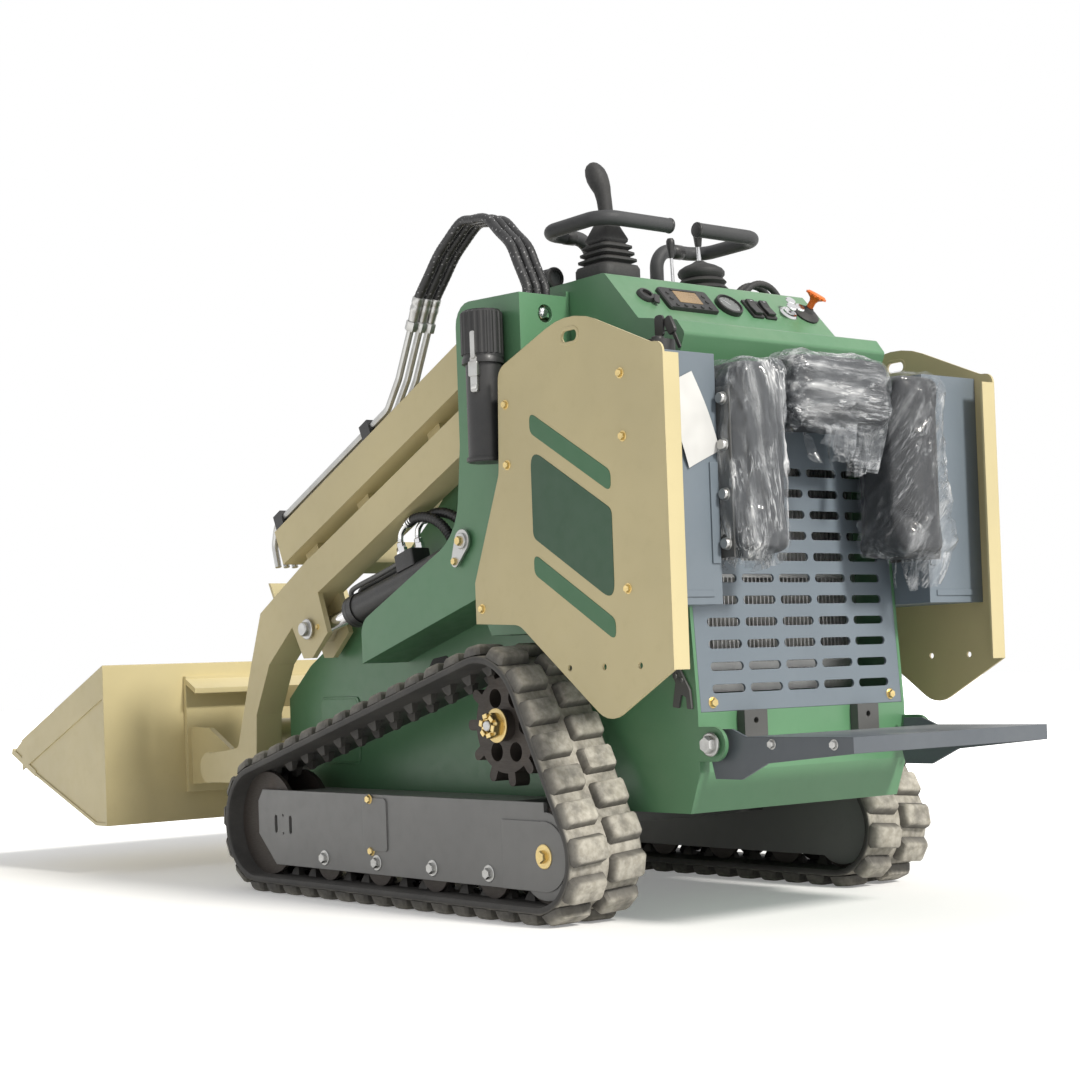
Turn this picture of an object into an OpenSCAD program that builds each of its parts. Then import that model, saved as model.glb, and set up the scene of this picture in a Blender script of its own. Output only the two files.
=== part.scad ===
// Compact track loader of the stand-on kind: rubber tracks, twin-bar lift arms, a bucket on a hitch
// plate, a rear console with hand rails and hip pads, and a folding platform to stand on.
// Millimetres. X points to the bucket, Y to the left, Z up. The tracks stand on Z = 0.
// Stations along X are counted from the rear-most lug tip and moved to the middle at the end.

/* [Undercarriage] */
// Width of one rubber track
track_w = 180; // [150:5:220]
// Distance between the centre lines of the tracks
track_gauge = 810; // [790:5:850]
// Thickness of the belt under its lugs
belt_t = 16; // [12:1:22]
// Height of the lugs
lug_h = 22; // [16:1:28]
// Radius of the rear idler wheel
rear_wheel_r = 92; // [84:1:100]
// Radius of the front idler wheel
front_wheel_r = 117; // [105:1:125]
// Radius of the drive sprocket over its teeth
sprocket_r = 122; // [112:1:130]
// Distance between the two idler axles
wheelbase = 1025; // [990:5:1060]
// Sprocket axle ahead of the rear idler axle
sprocket_ahead = 163; // [150:1:180]
// Sprocket axle height
sprocket_z = 377; // [365:1:390]
// Radius of the bottom rollers
roller_r = 50; // [44:1:54]
// Distance between the bottom rollers
roller_pitch = 199; // [190:1:205]
// First bottom roller ahead of the rear idler axle
roller_first = 178; // [170:1:190]
// Number of bottom rollers
roller_n = 4; // [3:1:4]
// Height of the track frame's top edge
frame_top_z = 232; // [220:1:245]
// Distance between the outer faces of the track frame's plates
frame_w = 120; // [110:2:130]
// Thickness of the track frame's plates
frame_t = 10; // [8:1:14]

/* [Chassis] */
// Width over the chassis walls
chassis_w = 570; // [550:5:590]
// Thickness of the chassis plates
wall_t = 8; // [6:1:10]
// Height of the belly
belly_z = 205; // [195:5:215]
// Rear plane of the chassis behind the rear-most lug
tail_back = 112; // [100:2:125]
// Nose of the chassis ahead of the rear-most lug
nose_x = 1324; // [1300:2:1330]
// Height of the walls below the console
deck_z = 1060; // [1040:5:1080]
// Thickness of the slotted rear panel
grille_t = 5; // [4:1:8]
// Number of slot columns in the rear panel
slot_cols = 5; // [3:1:6]
// Number of slot rows in the rear panel
slot_rows = 11; // [6:1:13]
// Height of one slot
slot_h = 16; // [10:1:20]

/* [Towers and shields] */
// Free width of the slot that holds arm and lift cylinder
slot_w = 112; // [106:2:116]
// Thickness of the tower plates
tower_t = 8; // [6:1:10]
// Rear plate of the tower ahead of the rear-most lug
tower_x = 225; // [220:1:235]
// Length of the tower plate with its fender
tower_len = 595; // [570:5:620]
// Low edge of the fender
fender_z = 511; // [505:1:530]
// Top of the towers
tower_top_z = 1235; // [1215:5:1255]
// Outer faces of the side shields from the middle
shield_y = 454; // [446:1:462]
// Thickness of the side shields
shield_t = 5; // [4:1:6]
// Length of the side shields
shield_len = 571; // [550:5:590]
// Lowest point of the side shields
shield_low_z = 393; // [385:1:410]
// Top of the side shields
shield_top_z = 1132; // [1110:2:1150]
// Width of the shields' rear flange
shield_flange = 38; // [30:1:45]

/* [Lift arm] */
// Arm pivot ahead of the rear-most lug
pivot_x = 330; // [325:1:335]
// Arm pivot height
pivot_z = 1110; // [1100:1:1120]
// Fall of the bars toward the bucket, in degrees
bar_fall = 24; // [23:0.5:25]
// Depth of one bar
bar_h = 86; // [80:1:90]
// Gap between upper and lower bar
bar_gap = 40; // [34:1:46]
// Width of the bars
bar_w = 70; // [64:1:76]
// Length of the lower bar from the pivot
bar_len = 840; // [820:5:860]
// Radius of the arm's pivot pin
pivot_r = 22; // [18:1:26]
// Lift rod pin ahead of the arm pivot
rod_pin_dx = 748; // [740:1:756]
// Lift rod pin below the arm pivot
rod_pin_dz = 514; // [508:1:520]
// Lift cylinder's base pin ahead of the arm pivot
base_pin_dx = 97; // [92:1:102]
// Lift cylinder's base pin below the arm pivot
base_pin_dz = 360; // [350:1:370]
// Radius of the lift cylinder's barrel
lift_r = 34; // [30:1:38]
// Radius of the lift cylinder's rod
lift_rod_r = 19; // [16:1:22]
// Hitch pivot ahead of the arm pivot
hitch_dx = 1245; // [1235:1:1255]
// Hitch pivot below the arm pivot
hitch_dz = 840; // [834:1:846]

/* [Bucket] */
// Width of the bucket
bucket_w = 1080; // [1020:10:1200]
// Length of the bucket
bucket_len = 570; // [520:5:620]
// Height of the bucket
bucket_h = 408; // [380:4:440]
// Back of the bucket ahead of the hitch pivot
bucket_dx = 234; // [225:1:245]
// Lowest point of the bucket below the hitch pivot
bucket_dz = 143; // [135:1:150]
// Thickness of the bucket plates
bucket_t = 8; // [6:1:10]
// Width of the hitch plate
hitch_w = 622; // [600:2:640]
// Thickness of the hitch plates
hitch_t = 14; // [12:1:16]
// Radius of the tilt cylinder's barrel
tilt_r = 32; // [28:1:35]
// Radius of the tilt cylinder's rod
tilt_rod_r = 17; // [14:1:20]

/* [Operator station] */
// Height of the console with its skirt
console_h = 234; // [220:1:246]
// Thickness of the console's shell
console_t = 4; // [3:1:6]
// Length of the folding platform behind its pivot
platform_len = 325; // [280:5:330]
// Width of the folding platform
platform_w = 530; // [500:5:540]
// Height of the platform's pivot
platform_z = 335; // [325:1:345]
// Thickness of the platform's plates
platform_t = 6; // [4:1:8]
// Low end of the hip pads
pad_low_z = 675; // [668:1:690]
// Height of the hip pads
pad_h = 365; // [340:5:380]
// Depth of the hip pads
pad_d = 140; // [120:2:150]
// Height of the hand rails
rail_z = 1385; // [1360:5:1410]
// Radius of the hand rails
rail_r = 15; // [12:1:17]
// Height of the joystick's top
stick_z = 1514; // [1480:2:1540]

/* [Hidden] */
$fn = 48;
// Clearances: pieces that sit on each other, pieces that turn, and the overrun of cuts
fit = 0.4;
play = 0.4;
over = 1;
corner_steps = 5;
sweep_sides = 10;
// Pins and their bosses
base_pin_r = 16;
rod_eye_r = 30;
hitch_pin_r = 18;
hitch_boss_r = 38;
tilt_pin_r = 15;
tilt_eye_r = 28;
platform_pin_r = 9;
pin_head_t = 7;
side_gap = 8;
eye_gap = 2;
// Pivots
platform_back = 38;
tilt_base_dx = 850;
tilt_base_dz = 340;
tilt_pin_dx = 60;
tilt_pin_dz = 170;
// Chassis and towers
ear_r = 32;
wall_hole_r = 20;
wall_hole_len = 44;
wall_hole_x = 674;
wall_hole_z = 470;
wall_panel_x = 1038;
wall_panel_z = 292;
wall_panel_len = 88;
wall_panel_h = 104;
wall_panel_t = 2;
tower_hole_r = 18;
tower_hole_drop = 49;
beam_w = 90;
beam_h = 50;
shield_back = 124;
shield_slot = 18;
shield_slot_r = 14;
shield_slot_back = 255;
shield_slot_drop = 31;
shield_hole_r = 6;
shield_hole_z = 484;
shield_hole_step = 99;
shield_hole_set = 88;
// Rear panel and what is behind it
slot_margin = 34;
slot_web = 14;
radiator_x = 0;
radiator_d = 50;
engine_x = 350;
engine_len = 480;
engine_w = 400;
engine_h = 340;
// Tanks and pads
tank_set = 46;
tank_len = 405;
tank_low_z = 590;
tank_drop = 12;
cap_set = 60;
cap_r = 32;
cap_h = 26;
pad_y = 150;
pad_w = 130;
pad_gap = 6;
pad_round = 40;
center_pad_w = 270;
center_pad_h = 140;
center_pad_z = 920;
cheek_t = 4;
cheek_d = 105;
cheek_h = 312;
bracket_w = 60;
bracket_t = 20;
bracket_y = 155;
bracket_hole_r = 6;
bracket_hole_gap = 40;
// Undercarriage details
frame_ahead = 28;
cover_t = 3;
tension_set = 79;
tension_gap = 62;
tension_w = 12;
tension_len = 41;
cover_len = 128;
port_len = 88;
port_h = 112;
flange_w = 10;
hub_share = 0.56;
lug_pitch = 72;
lug_len = 44;
lug_sink = 5;
axle_r = 17;
sprocket_t = 36;
tooth_n = 11;
tooth_w = 22;
rim_share = 0.78;
hole_share = 0.64;
web_hole_share = 0.2;
web_hole_n = 6;
hub_out = 20;
motor_r = 70;
// Arm details
arm_boss_r = 88;
leg_top_dz = 350;
leg_rear_dx = 698;
ear_plate_t = 13;
ear_len = 150;
ear_h = 155;
cross_n = 2;
cross_step = 305;
torque_u = 850;
torque_w = 56;
leg_tube_r = 28;
leg_tube_dx = 1066;
leg_tube_dz = 750;
guard_t = 8;
guard_notch = 180;
guard_dx = 950;
guard_dz = 545;
guard_run = 83;
guard_rise = 153;
tube_r = 8;
hose_r = 10;
hose_run = 390;
hose_rise = 208;
hose_drop = 34;
hose_lead = 50;
hose_set = 17;
hose_block_d = 29;
hose_block_w = 76;
hose_block_h = 20;
tube_pitch = 23;
clamp_shares = [0.56, 1.05];
clamp_len = 34;
clamp_h = 34;
tube_n_share = 1.36;
barrel_share = 0.78;
gland_len = 30;
gland_out = 3;
lift_head = 60;
tilt_head = 48;
tilt_neck = 60;
tilt_step = 4;
rod_set = 22;
tilt_gap = 60;
tilt_w = 54;
// Hitch and platform
band_t = 3;
band_w = 82;
edge_len = 160;
edge_t = 16;
hitch_drop = 70;
hitch_h = 300;
hitch_lip = 62;
hitch_ear_h = 149;
platform_drop = 65;
platform_rise = 27;
platform_front = 28;
// Console and controls
console_set = 7;
console_skirt = 40;
console_len = 530;
rail_inset = 20;
rail_out = 222;
rail_post_y = 92;
rail_end_y = 36;
rail_span = 186;
rail_bend = 42;
stick_set = 58;
stick_y = 160;
stick_r = 22;
stick_boot_r = 60;
stick_boot_h = 92;
stick_base_h = 43;
stick_folds = 3;
stick_step = 5;
stick_corner = 12;
stick_collar_h = 43;
collar_share = 0.5;
fold_share = 0.55;
stick_grip_h = 120;
lever_r = 6;
lever_h = 130;
lever_step = 100;
lever_boot_r = 36;
lever_boot_h = 40;
knob_r = 15;
display_y = 44;
display_w = 120;
display_t = 12;
gauge_y = -10;
gauge_r = 24;
switch_y = -84;
switch_w = 28;
key_y = -182;
key_r = 14;
throttle_y = -245;
canister_r = 36;
canister_h = 300;
canister_set = 32;
canister_drop = 215;
canister_cap_h = 95;
canister_cap_out = 4;
tower_w_share = 0.355;
ear_up_share = 0.43;
lamp_r = 27;
lamp_len = 46;
lamp_set = 43;
lamp_y = 232;
// Roundings of the outlines
fender_round = 40;
neck_round = 120;
crown_round = 45;
tip_round = 60;
peak_round = 190;
knee_round = 50;
shield_round = 30;
brow_round = 20;
face_round = 12;
lip_round = 8;
leg_round = 20;
panel_round = 10;

// Places worked out from the driving sizes
rear_x = rear_wheel_r + belt_t + lug_h;
front_x = rear_x + wheelbase;
front_z = front_wheel_r + belt_t + lug_h;
sprocket_x = rear_x + sprocket_ahead;
roller_z = belt_t + lug_h + roller_r;
track_y = track_gauge / 2;
frame_y = track_y - frame_w / 2;
wall_y = chassis_w / 2;
tail_x = -tail_back;
tub_len = nose_x - tail_x;
tub_h = deck_z - belly_z;
arm_y0 = wall_y + (slot_w - bar_w) / 2;
arm_y1 = arm_y0 + bar_w;
arm_y = (arm_y0 + arm_y1) / 2;
tower_y = wall_y + slot_w;
tower_face = tower_y + tower_t;
tower_w = tower_len * tower_w_share;
shield_x = tail_x - shield_back;
rod_pin = [pivot_x + rod_pin_dx, pivot_z - rod_pin_dz];
base_pin = [pivot_x + base_pin_dx, pivot_z - base_pin_dz];
lift_len = norm(rod_pin - base_pin);
lift_turn = atan2(rod_pin[1] - base_pin[1], rod_pin[0] - base_pin[0]);
hitch_pin = [pivot_x + hitch_dx, pivot_z - hitch_dz];
tilt_base = [pivot_x + tilt_base_dx, pivot_z - tilt_base_dz];
tilt_pin = hitch_pin + [tilt_pin_dx, tilt_pin_dz];
tilt_len = norm(tilt_pin - tilt_base);
tilt_turn = atan2(tilt_pin[1] - tilt_base[1], tilt_pin[0] - tilt_base[0]);
eye_w = bar_w - 2 * ear_plate_t - 2 * eye_gap;
cross_h = bar_gap + tube_r;
tube_n = bar_h * tube_n_share + tube_r;
bucket_x = hitch_pin[0] + bucket_dx;
bucket_z = hitch_pin[1] - bucket_dz;
tip_x = bucket_x + bucket_len;
platform_x = tail_x - platform_back;
stern_x = platform_x - platform_len;
x_mid = (tip_x + stern_x) / 2;

// Outlines as shares of the sizes that they follow: [along, up], counter-clockwise
tub_shares = [
  [0.02, 0], [0.9, 0], [0.97, 0.04], [1, 0.11], [1, 0.27], [0.93, 0.36], [0.73, 0.53],
  [0.56, 0.74], [0.38, 1], [0.03, 1], [0, 0.22], [0, 0.09]
];
tower_shares = [
  [0, 0.06], [0.21, 0.06], [0.29, 0.165], [1, 0], [1, 0.125], [0.73, 0.225], [0.39, 0.35],
  [0.355, 0.6], [0.355, 1], [0, 0.985]
];
shield_shares = [
  [0, 0.11], [0.31, -0.02], [0.76, 0.24], [1, 0.25], [1, 0.36], [0.845, 0.64], [0.83, 0.915],
  [0.44, 1.026], [0.054, 0.897], [0, 0.895]
];
console_shares = [
  [0.065, 0], [1, 0], [1, 0.73], [0.93, 1], [0.42, 1], [0.24, 0.555], [0.04, 0.47], [0, 0.35]
];
bucket_shares = [
  [0, 1], [0, 0], [0.11, 0], [0.82, 0.335], [1, 0.435], [0.88, 0.53]
];
leg_shares = [
  [0, 0.86], [0.24, 0.7], [0.43, 0.55], [0.55, 0.33], [0.57, 0.02], [1, 0.02], [1, 0.15],
  [0.72, 0.18], [0.58, 0.56], [0.49, 0.78], [0.08, 1]
];
ear_shares = [
  [0, 0.36], [0.45, 0], [0.7, 0], [1, 0.46], [1, 0.72], [0.25, 1]
];
hitch_ear_shares = [
  [0, 0.07], [1, 0], [1, 1], [0.57, 0.97], [0.07, 0.6]
];
platform_shares = [
  [0, 0.54], [0.59, 0.33], [0.78, 0], [0.97, 0], [1, 0.4], [0.97, 1], [0.84, 1], [0.74, 0.85],
  [0, 0.85]
];
cover_shares = [[0, 0], [1, 0], [1, 0.79], [0.1, 0.79], [-0.35, 0.4]];
box_shares = [[0, 0], [1, 0], [1, 1], [0, 1]];
frame_shares = [
  [0, 0], [0.93, 0], [1, 0.4], [1, 0.84], [0.98, 1], [0, 1]
];
// Steel tubes on the arm: shares of the bar's length and of its depth
tube_shares = [
  [0.28, 2.75], [0.4, 1.8], [0.48, 1.36], [1.1, 1.36], [1.14, 0.9], [1.15, 0.3]
];
// Hose route from the tower's rear plate up and over to the arm's tubes
hose_shares = [
  [0, 0], [0, 0.2], [0.13, 0.66], [0.33, 0.99], [0.56, 1.02], [0.76, 0.76]
];

// Points of an outline: shares of a box with its low corner at o and the size s
function from_shares(shares, o, s) = [for (p = shares) [o[0] + s[0] * p[0], o[1] + s[1] * p[1]]];

// The same outline moved inward by t
function inset(p, t) = [
  for (i = [0 : len(p) - 1])
  let (
    u = p[i] - p[(i + len(p) - 1) % len(p)],
    v = p[(i + 1) % len(p)] - p[i],
    nu = [-u[1], u[0]] / norm(u),
    nv = [-v[1], v[0]] / norm(v)
  )
  p[i] + t * (nu + nv) / (1 + nu * nv)
];

// A sheet of thickness t that follows the outline's points with the given numbers
function sheet_points(p, t, ids) = concat(
  [for (i = ids) p[i]],
  [for (k = [len(ids) - 1 : -1 : 0]) inset(p, t)[ids[k]]]
);

// One corner rounded by radius r, as an arc from the side toward a to the side toward c
function arc_corner(a, b, c, r) =
  let (
    u = (a - b) / norm(a - b),
    v = (c - b) / norm(c - b),
    half = acos(u * v) / 2,
    m = b + (u + v) / norm(u + v) * r / sin(half),
    p = b + u * r / tan(half) - m,
    q = b + v * r / tan(half) - m,
    start = atan2(p[1], p[0]),
    sweep = atan2(p[0] * q[1] - p[1] * q[0], p * q)
  )
  [for (i = [0 : corner_steps]) let (w = start + sweep * i / corner_steps) m + r * [cos(w), sin(w)]];

// An outline whose corner i is rounded by radii[i]
function rounded(p, radii) = [
  for (i = [0 : len(p) - 1])
  let (a = p[(i + len(p) - 1) % len(p)], c = p[(i + 1) % len(p)])
  each (radii[i] == 0 ? [p[i]] : arc_corner(a, p[i], c, radii[i]))
];

// A rectangle with its low corner at o and the size s, its corners rounded by radius r
function rounded_box(o, s, r) = rounded(from_shares(box_shares, o, s), [r, r, r, r]);

// Points where the outer tangent of two circles touches them, outside on the right of a to b
function tangent(a, ra, b, rb) =
  let (
    d = b - a,
    turn = atan2(d[1], d[0]) - acos((ra - rb) / norm(d)),
    n = [cos(turn), sin(turn)]
  )
  [a + ra * n, b + rb * n];

// The rear panel's outer face leans forward: its station at height z
function panel_x(z) =
  let (a = tub_points[10], b = tub_points[9])
  a[0] + (b[0] - a[0]) * (z - a[1]) / (b[1] - a[1]);

// Everything is drawn by stations along X and then moved to the middle of the length
module placed() {
  translate([-x_mid, 0, 0]) children();
}

// An outline in X and Z drawn out along Y from y to y + t
module plate(y, t) {
  translate([0, y + t, 0]) rotate([90, 0, 0]) linear_extrude(t) children();
}

// A round bar along Y from y to y + t
module bar(p, r, y, t) {
  translate([p[0], y + t, p[1]]) rotate([90, 0, 0]) cylinder(r = r, h = t);
}

// A round bar along the line from a to b, in the plane at y
module rod(a, b, r, y) {
  d = b - a;
  translate([a[0], y, a[1]]) rotate([0, 90 - atan2(d[1], d[0]), 0]) cylinder(r = r, h = norm(d));
}

// The left form, or its mirror image on the right
module hand(left) {
  if (left) children();
  else mirror([0, 1, 0]) children();
}

// An open path in X and Z whose inner corners are rounded by radius r
function bent(p, r) = concat(
  [p[0]],
  [for (i = [1 : len(p) - 2]) each arc_corner(p[i - 1], p[i], p[i + 1], r)],
  [p[len(p) - 1]]
);

// Directions along a path, halfway between the stretches that meet at each point
function unit(v) = v / norm(v);
function heading(p, i) =
  i == 0 ? unit(p[1] - p[0])
  : i == len(p) - 1 ? unit(p[i] - p[i - 1])
  : unit(unit(p[i] - p[i - 1]) + unit(p[i + 1] - p[i]));

// A round tube swept along a path in the plane at y
module swept(path, r, y) {
  n = len(path);
  rings = [
    for (i = [0 : n - 1], k = [0 : sweep_sides - 1])
    let (h = heading(path, i), w = 360 * k / sweep_sides)
    [path[i][0] - r * cos(w) * h[1], y + r * sin(w), path[i][1] + r * cos(w) * h[0]]
  ];
  skin = [
    for (i = [0 : n - 2], k = [0 : sweep_sides - 1])
    let (a = i * sweep_sides, b = a + sweep_sides, m = (k + 1) % sweep_sides)
    each [[a + k, b + k, b + m], [a + k, b + m, a + m]]
  ];
  first = [for (k = [0 : sweep_sides - 1]) k];
  last = [for (k = [sweep_sides - 1 : -1 : 0]) (n - 1) * sweep_sides + k];
  polyhedron(rings, concat(skin, [first, last]));
}

// Chassis: two walls, the sheet that runs from the rear panel under the belly to the nose
tub_points = from_shares(tub_shares, [tail_x, belly_z], [tub_len, tub_h]);
tub_ids = [10, 11, 0, 1, 2, 3, 4, 5];
hood_ids = [5, 6, 7, 8];
inner_w = chassis_w - 2 * wall_t;

module wall_outline() {
  difference() {
    union() {
      polygon(tub_points);
      translate([tower_x, deck_z - tower_w]) square([tower_w, tower_top_z - deck_z + tower_w]);
      translate([platform_x, platform_z]) circle(r = ear_r);
      translate([platform_x, platform_z - ear_r]) square([platform_back + wall_t, 2 * ear_r]);
    }
    translate([platform_x, platform_z]) circle(r = platform_pin_r + play);
    for (dx = [0, wall_hole_len]) translate([wall_hole_x + dx, wall_hole_z]) circle(r = wall_hole_r);
    translate([wall_hole_x, wall_hole_z - wall_hole_r]) square([wall_hole_len, 2 * wall_hole_r]);
  }
}

module chassis_tub() {
  color("darkolivegreen") placed() {
    plate(-wall_y, wall_t) wall_outline();
    plate(wall_y - wall_t, wall_t) wall_outline();
    plate(-inner_w / 2, inner_w) polygon(sheet_points(tub_points, wall_t, tub_ids));
    for (left = [true, false]) hand(left) plate(wall_y, wall_panel_t) polygon(rounded_box(
      [wall_panel_x, wall_panel_z], [wall_panel_len, wall_panel_h], panel_round));
  }
}

module hood() {
  color("darkolivegreen") placed()
    plate(fit - inner_w / 2, inner_w - 2 * fit) polygon(sheet_points(tub_points, wall_t, hood_ids));
}

// Towers: an outer plate with its fender, a rear plate, the fender's underside and the arm's pins
tower_points = from_shares(tower_shares, [tower_x, fender_z], [tower_len, tower_top_z - fender_z]);
tower_radii = [0, 0, 0, 0, fender_round, 0, neck_round, 0, crown_round, 0];
under_ids = [0, 1, 2, 3];

module tower(left) {
  rear_low = tower_points[0][1];
  rear_top = tower_points[9][1];
  color("darkolivegreen") placed() hand(left) {
    plate(tower_y, tower_t) polygon(rounded(tower_points, tower_radii));
    plate(wall_y + fit, slot_w - fit) polygon(sheet_points(tower_points, tower_t, under_ids));
    difference() {
      translate([tower_x, wall_y + fit, rear_low]) cube([tower_t, slot_w - fit, rear_top - rear_low]);
      translate([tower_x - over, arm_y, tower_top_z - tower_hole_drop]) rotate([0, 90, 0])
        cylinder(r = tower_hole_r, h = tower_t + 2 * over);
    }
    bar([pivot_x, pivot_z], pivot_r, wall_y + fit, slot_w + tower_t - fit);
    translate([tower_x + tower_t, arm_y - hose_block_w / 2, hose_from[1] - fit - hose_block_h])
      cube([hose_block_d, hose_block_w, hose_block_h]);
    bar(base_pin, base_pin_r, wall_y + fit, slot_w + tower_t + pin_head_t - fit);
  }
}

// Side shields with a rear flange that is bent inward
shield_h = shield_top_z - shield_low_z;
shield_points = from_shares(shield_shares, [shield_x, shield_low_z], [shield_len, shield_h]);
shield_radii = [
  0, tip_round, knee_round, 0, 0, knee_round, shield_round, peak_round, shield_round, brow_round
];

module shield(left) {
  color("tan") placed() hand(left) {
    difference() {
      plate(shield_y - shield_t, shield_t) polygon(rounded(shield_points, shield_radii));
      for (dx = [-shield_slot / 2, shield_slot / 2])
        bar([shield_x + shield_slot_back + dx, shield_top_z - shield_slot_drop], shield_slot_r,
          shield_y - shield_t - over, shield_t + 2 * over);
      for (i = [0 : 2])
        bar([shield_x + shield_hole_set + i * shield_hole_step, shield_hole_z], shield_hole_r,
          shield_y - shield_t - over, shield_t + 2 * over);
    }
    translate([shield_x, shield_y - shield_flange, shield_points[0][1]])
      cube([shield_t, shield_flange, shield_points[9][1] - shield_points[0][1] - shield_radii[9]]);
  }
}

// Console: an open-bottomed shell with a sloped control face toward the operator
console_x = tail_x + console_set;
console_low = deck_z - console_skirt;
console_w = inner_w - 2 * fit;
console_points = from_shares(console_shares, [console_x, console_low], [console_len, console_h]);
console_z = console_low + console_h;
console_radii = [0, 0, brow_round, brow_round, face_round, lip_round, lip_round, lip_round];

module console() {
  color("darkolivegreen") placed() difference() {
    plate(-console_w / 2, console_w) polygon(rounded(console_points, console_radii));
    plate(console_t - console_w / 2, console_w - 2 * console_t)
      polygon(inset(console_points, console_t));
    translate([console_points[0][0] + 2 * console_t, console_t - console_w / 2, console_low - over])
      cube([console_len / 2, console_w - 2 * console_t, console_t + 2 * over]);
  }
}

// Rear panel with rows of slots, the cooler behind it and the engine as one block
panel_low = tub_points[10][1] + fit;
panel_top = console_low - fit;
slot_field = center_pad_z - slot_margin - panel_low - slot_margin;
slot_len = (inner_w - 2 * slot_margin - (slot_cols - 1) * slot_web) / slot_cols;

module slot_outline() {
  r = slot_h / 2;
  translate([r, 0]) square([slot_len - slot_h, slot_h]);
  for (x = [r, slot_len - r]) translate([x, r]) circle(r = r);
}

module rear_grille() {
  color("slategray") placed() difference() {
    plate(fit - inner_w / 2, inner_w - 2 * fit) polygon([
      [panel_x(panel_low), panel_low], [panel_x(panel_low) + grille_t, panel_low],
      [panel_x(panel_top) + grille_t, panel_top], [panel_x(panel_top), panel_top]
    ]);
    for (c = [0 : slot_cols - 1])
      for (r = [0 : slot_rows - 1])
        translate([tail_x - over, slot_margin - inner_w / 2 + c * (slot_len + slot_web),
            panel_low + slot_margin + r * slot_field / slot_rows])
          rotate([90, 0, 90]) linear_extrude(tail_back) slot_outline();
  }
}

module radiator() {
  color("silver") placed()
    translate([radiator_x, fit - inner_w / 2, panel_low + slot_margin])
      cube([radiator_d, inner_w - 2 * fit, slot_field]);
}

module engine() {
  color("dimgray") placed()
    translate([engine_x, -engine_w / 2, belly_z + wall_t + fit])
      cube([engine_len, engine_w, engine_h]);
}

// Tanks beside the rear panel, and the filler cap
tank_x = shield_x + tank_set;
tank_y = wall_y + fit;
tank_w = shield_y - shield_t - fit - tank_y;
tank_top = deck_z - tank_drop;

module tank(left) {
  color("slategray") placed() hand(left)
    translate([tank_x, tank_y, tank_low_z]) cube([tank_len, tank_w, tank_top - tank_low_z]);
}

module filler_cap() {
  color("black") placed()
    translate([tank_x + cap_set, tank_y + tank_w / 2, tank_top + fit]) cylinder(r = cap_r, h = cap_h);
}

// Pads at the rear panel: one at each hip and one in the middle
pad_x = tail_x - pad_gap;

module pad(y, w, z, h) {
  color("black") placed() plate(y, w) polygon(rounded(
    [[pad_x - pad_d, z], [pad_x - fit, z], [pad_x - fit, z + h], [pad_x - pad_d, z + h]],
    [pad_round, 0, 0, pad_round]));
}

module pad_bracket(y, z, h) {
  plate(y, bracket_w) polygon([
    [pad_x, z], [panel_x(z) - fit, z], [panel_x(z + h) - fit, z + h], [pad_x, z + h]
  ]);
}

module pad_brackets() {
  color("black") placed() {
    pad_bracket(-bracket_w / 2, center_pad_z + slot_margin, center_pad_h / 3);
    for (left = [true, false]) hand(left) {
      pad_bracket(pad_y + pad_w / 2 - bracket_w / 2, pad_low_z + pad_h / 2, pad_h / 3);
      plate(pad_y + pad_w + fit, cheek_t) polygon([
        [pad_x - cheek_d, pad_low_z], [panel_x(pad_low_z) - fit, pad_low_z],
        [panel_x(pad_low_z + cheek_h) - fit, pad_low_z + cheek_h], [pad_x - cheek_d, pad_low_z + cheek_h]
      ]);
    }
  }
}

rail_x = console_points[3][0] - rail_inset - rail_span;

// Hand rails: a post on the console, a run outward, and two bends back to an open end
module elbow() {
  rotate_extrude(angle = 90) translate([rail_bend, 0]) circle(r = rail_r);
}

module handrail(left) {
  x0 = rail_x;
  x1 = rail_x + rail_span;
  y1 = rail_out;
  color("black") placed() hand(left) {
    translate([x1, rail_post_y, console_z + fit])
      cylinder(r = rail_r, h = rail_z - rail_bend - console_z - fit);
    translate([x1, rail_post_y + rail_bend, rail_z - rail_bend]) rotate([90, 0, -90]) elbow();
    translate([x1, rail_post_y + rail_bend, rail_z]) rotate([-90, 0, 0])
      cylinder(r = rail_r, h = y1 - rail_post_y - 2 * rail_bend);
    translate([x1 - rail_bend, y1 - rail_bend, rail_z]) elbow();
    translate([x0 + rail_bend, y1, rail_z]) rotate([0, 90, 0])
      cylinder(r = rail_r, h = rail_span - 2 * rail_bend);
    translate([x0 + rail_bend, y1 - rail_bend, rail_z]) rotate(90) elbow();
    translate([x0, rail_end_y, rail_z]) rotate([-90, 0, 0])
      cylinder(r = rail_r, h = y1 - rail_bend - rail_end_y);
  }
}

// Controls on the console's top and on its sloped face
stick_x = rail_x + stick_set;

// One square step of the joystick's boot
module boot_step(half, low, tall) {
  translate([0, 0, low]) linear_extrude(tall)
    polygon(rounded_box([-half, -half], [2 * half, 2 * half], stick_corner));
}

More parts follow.
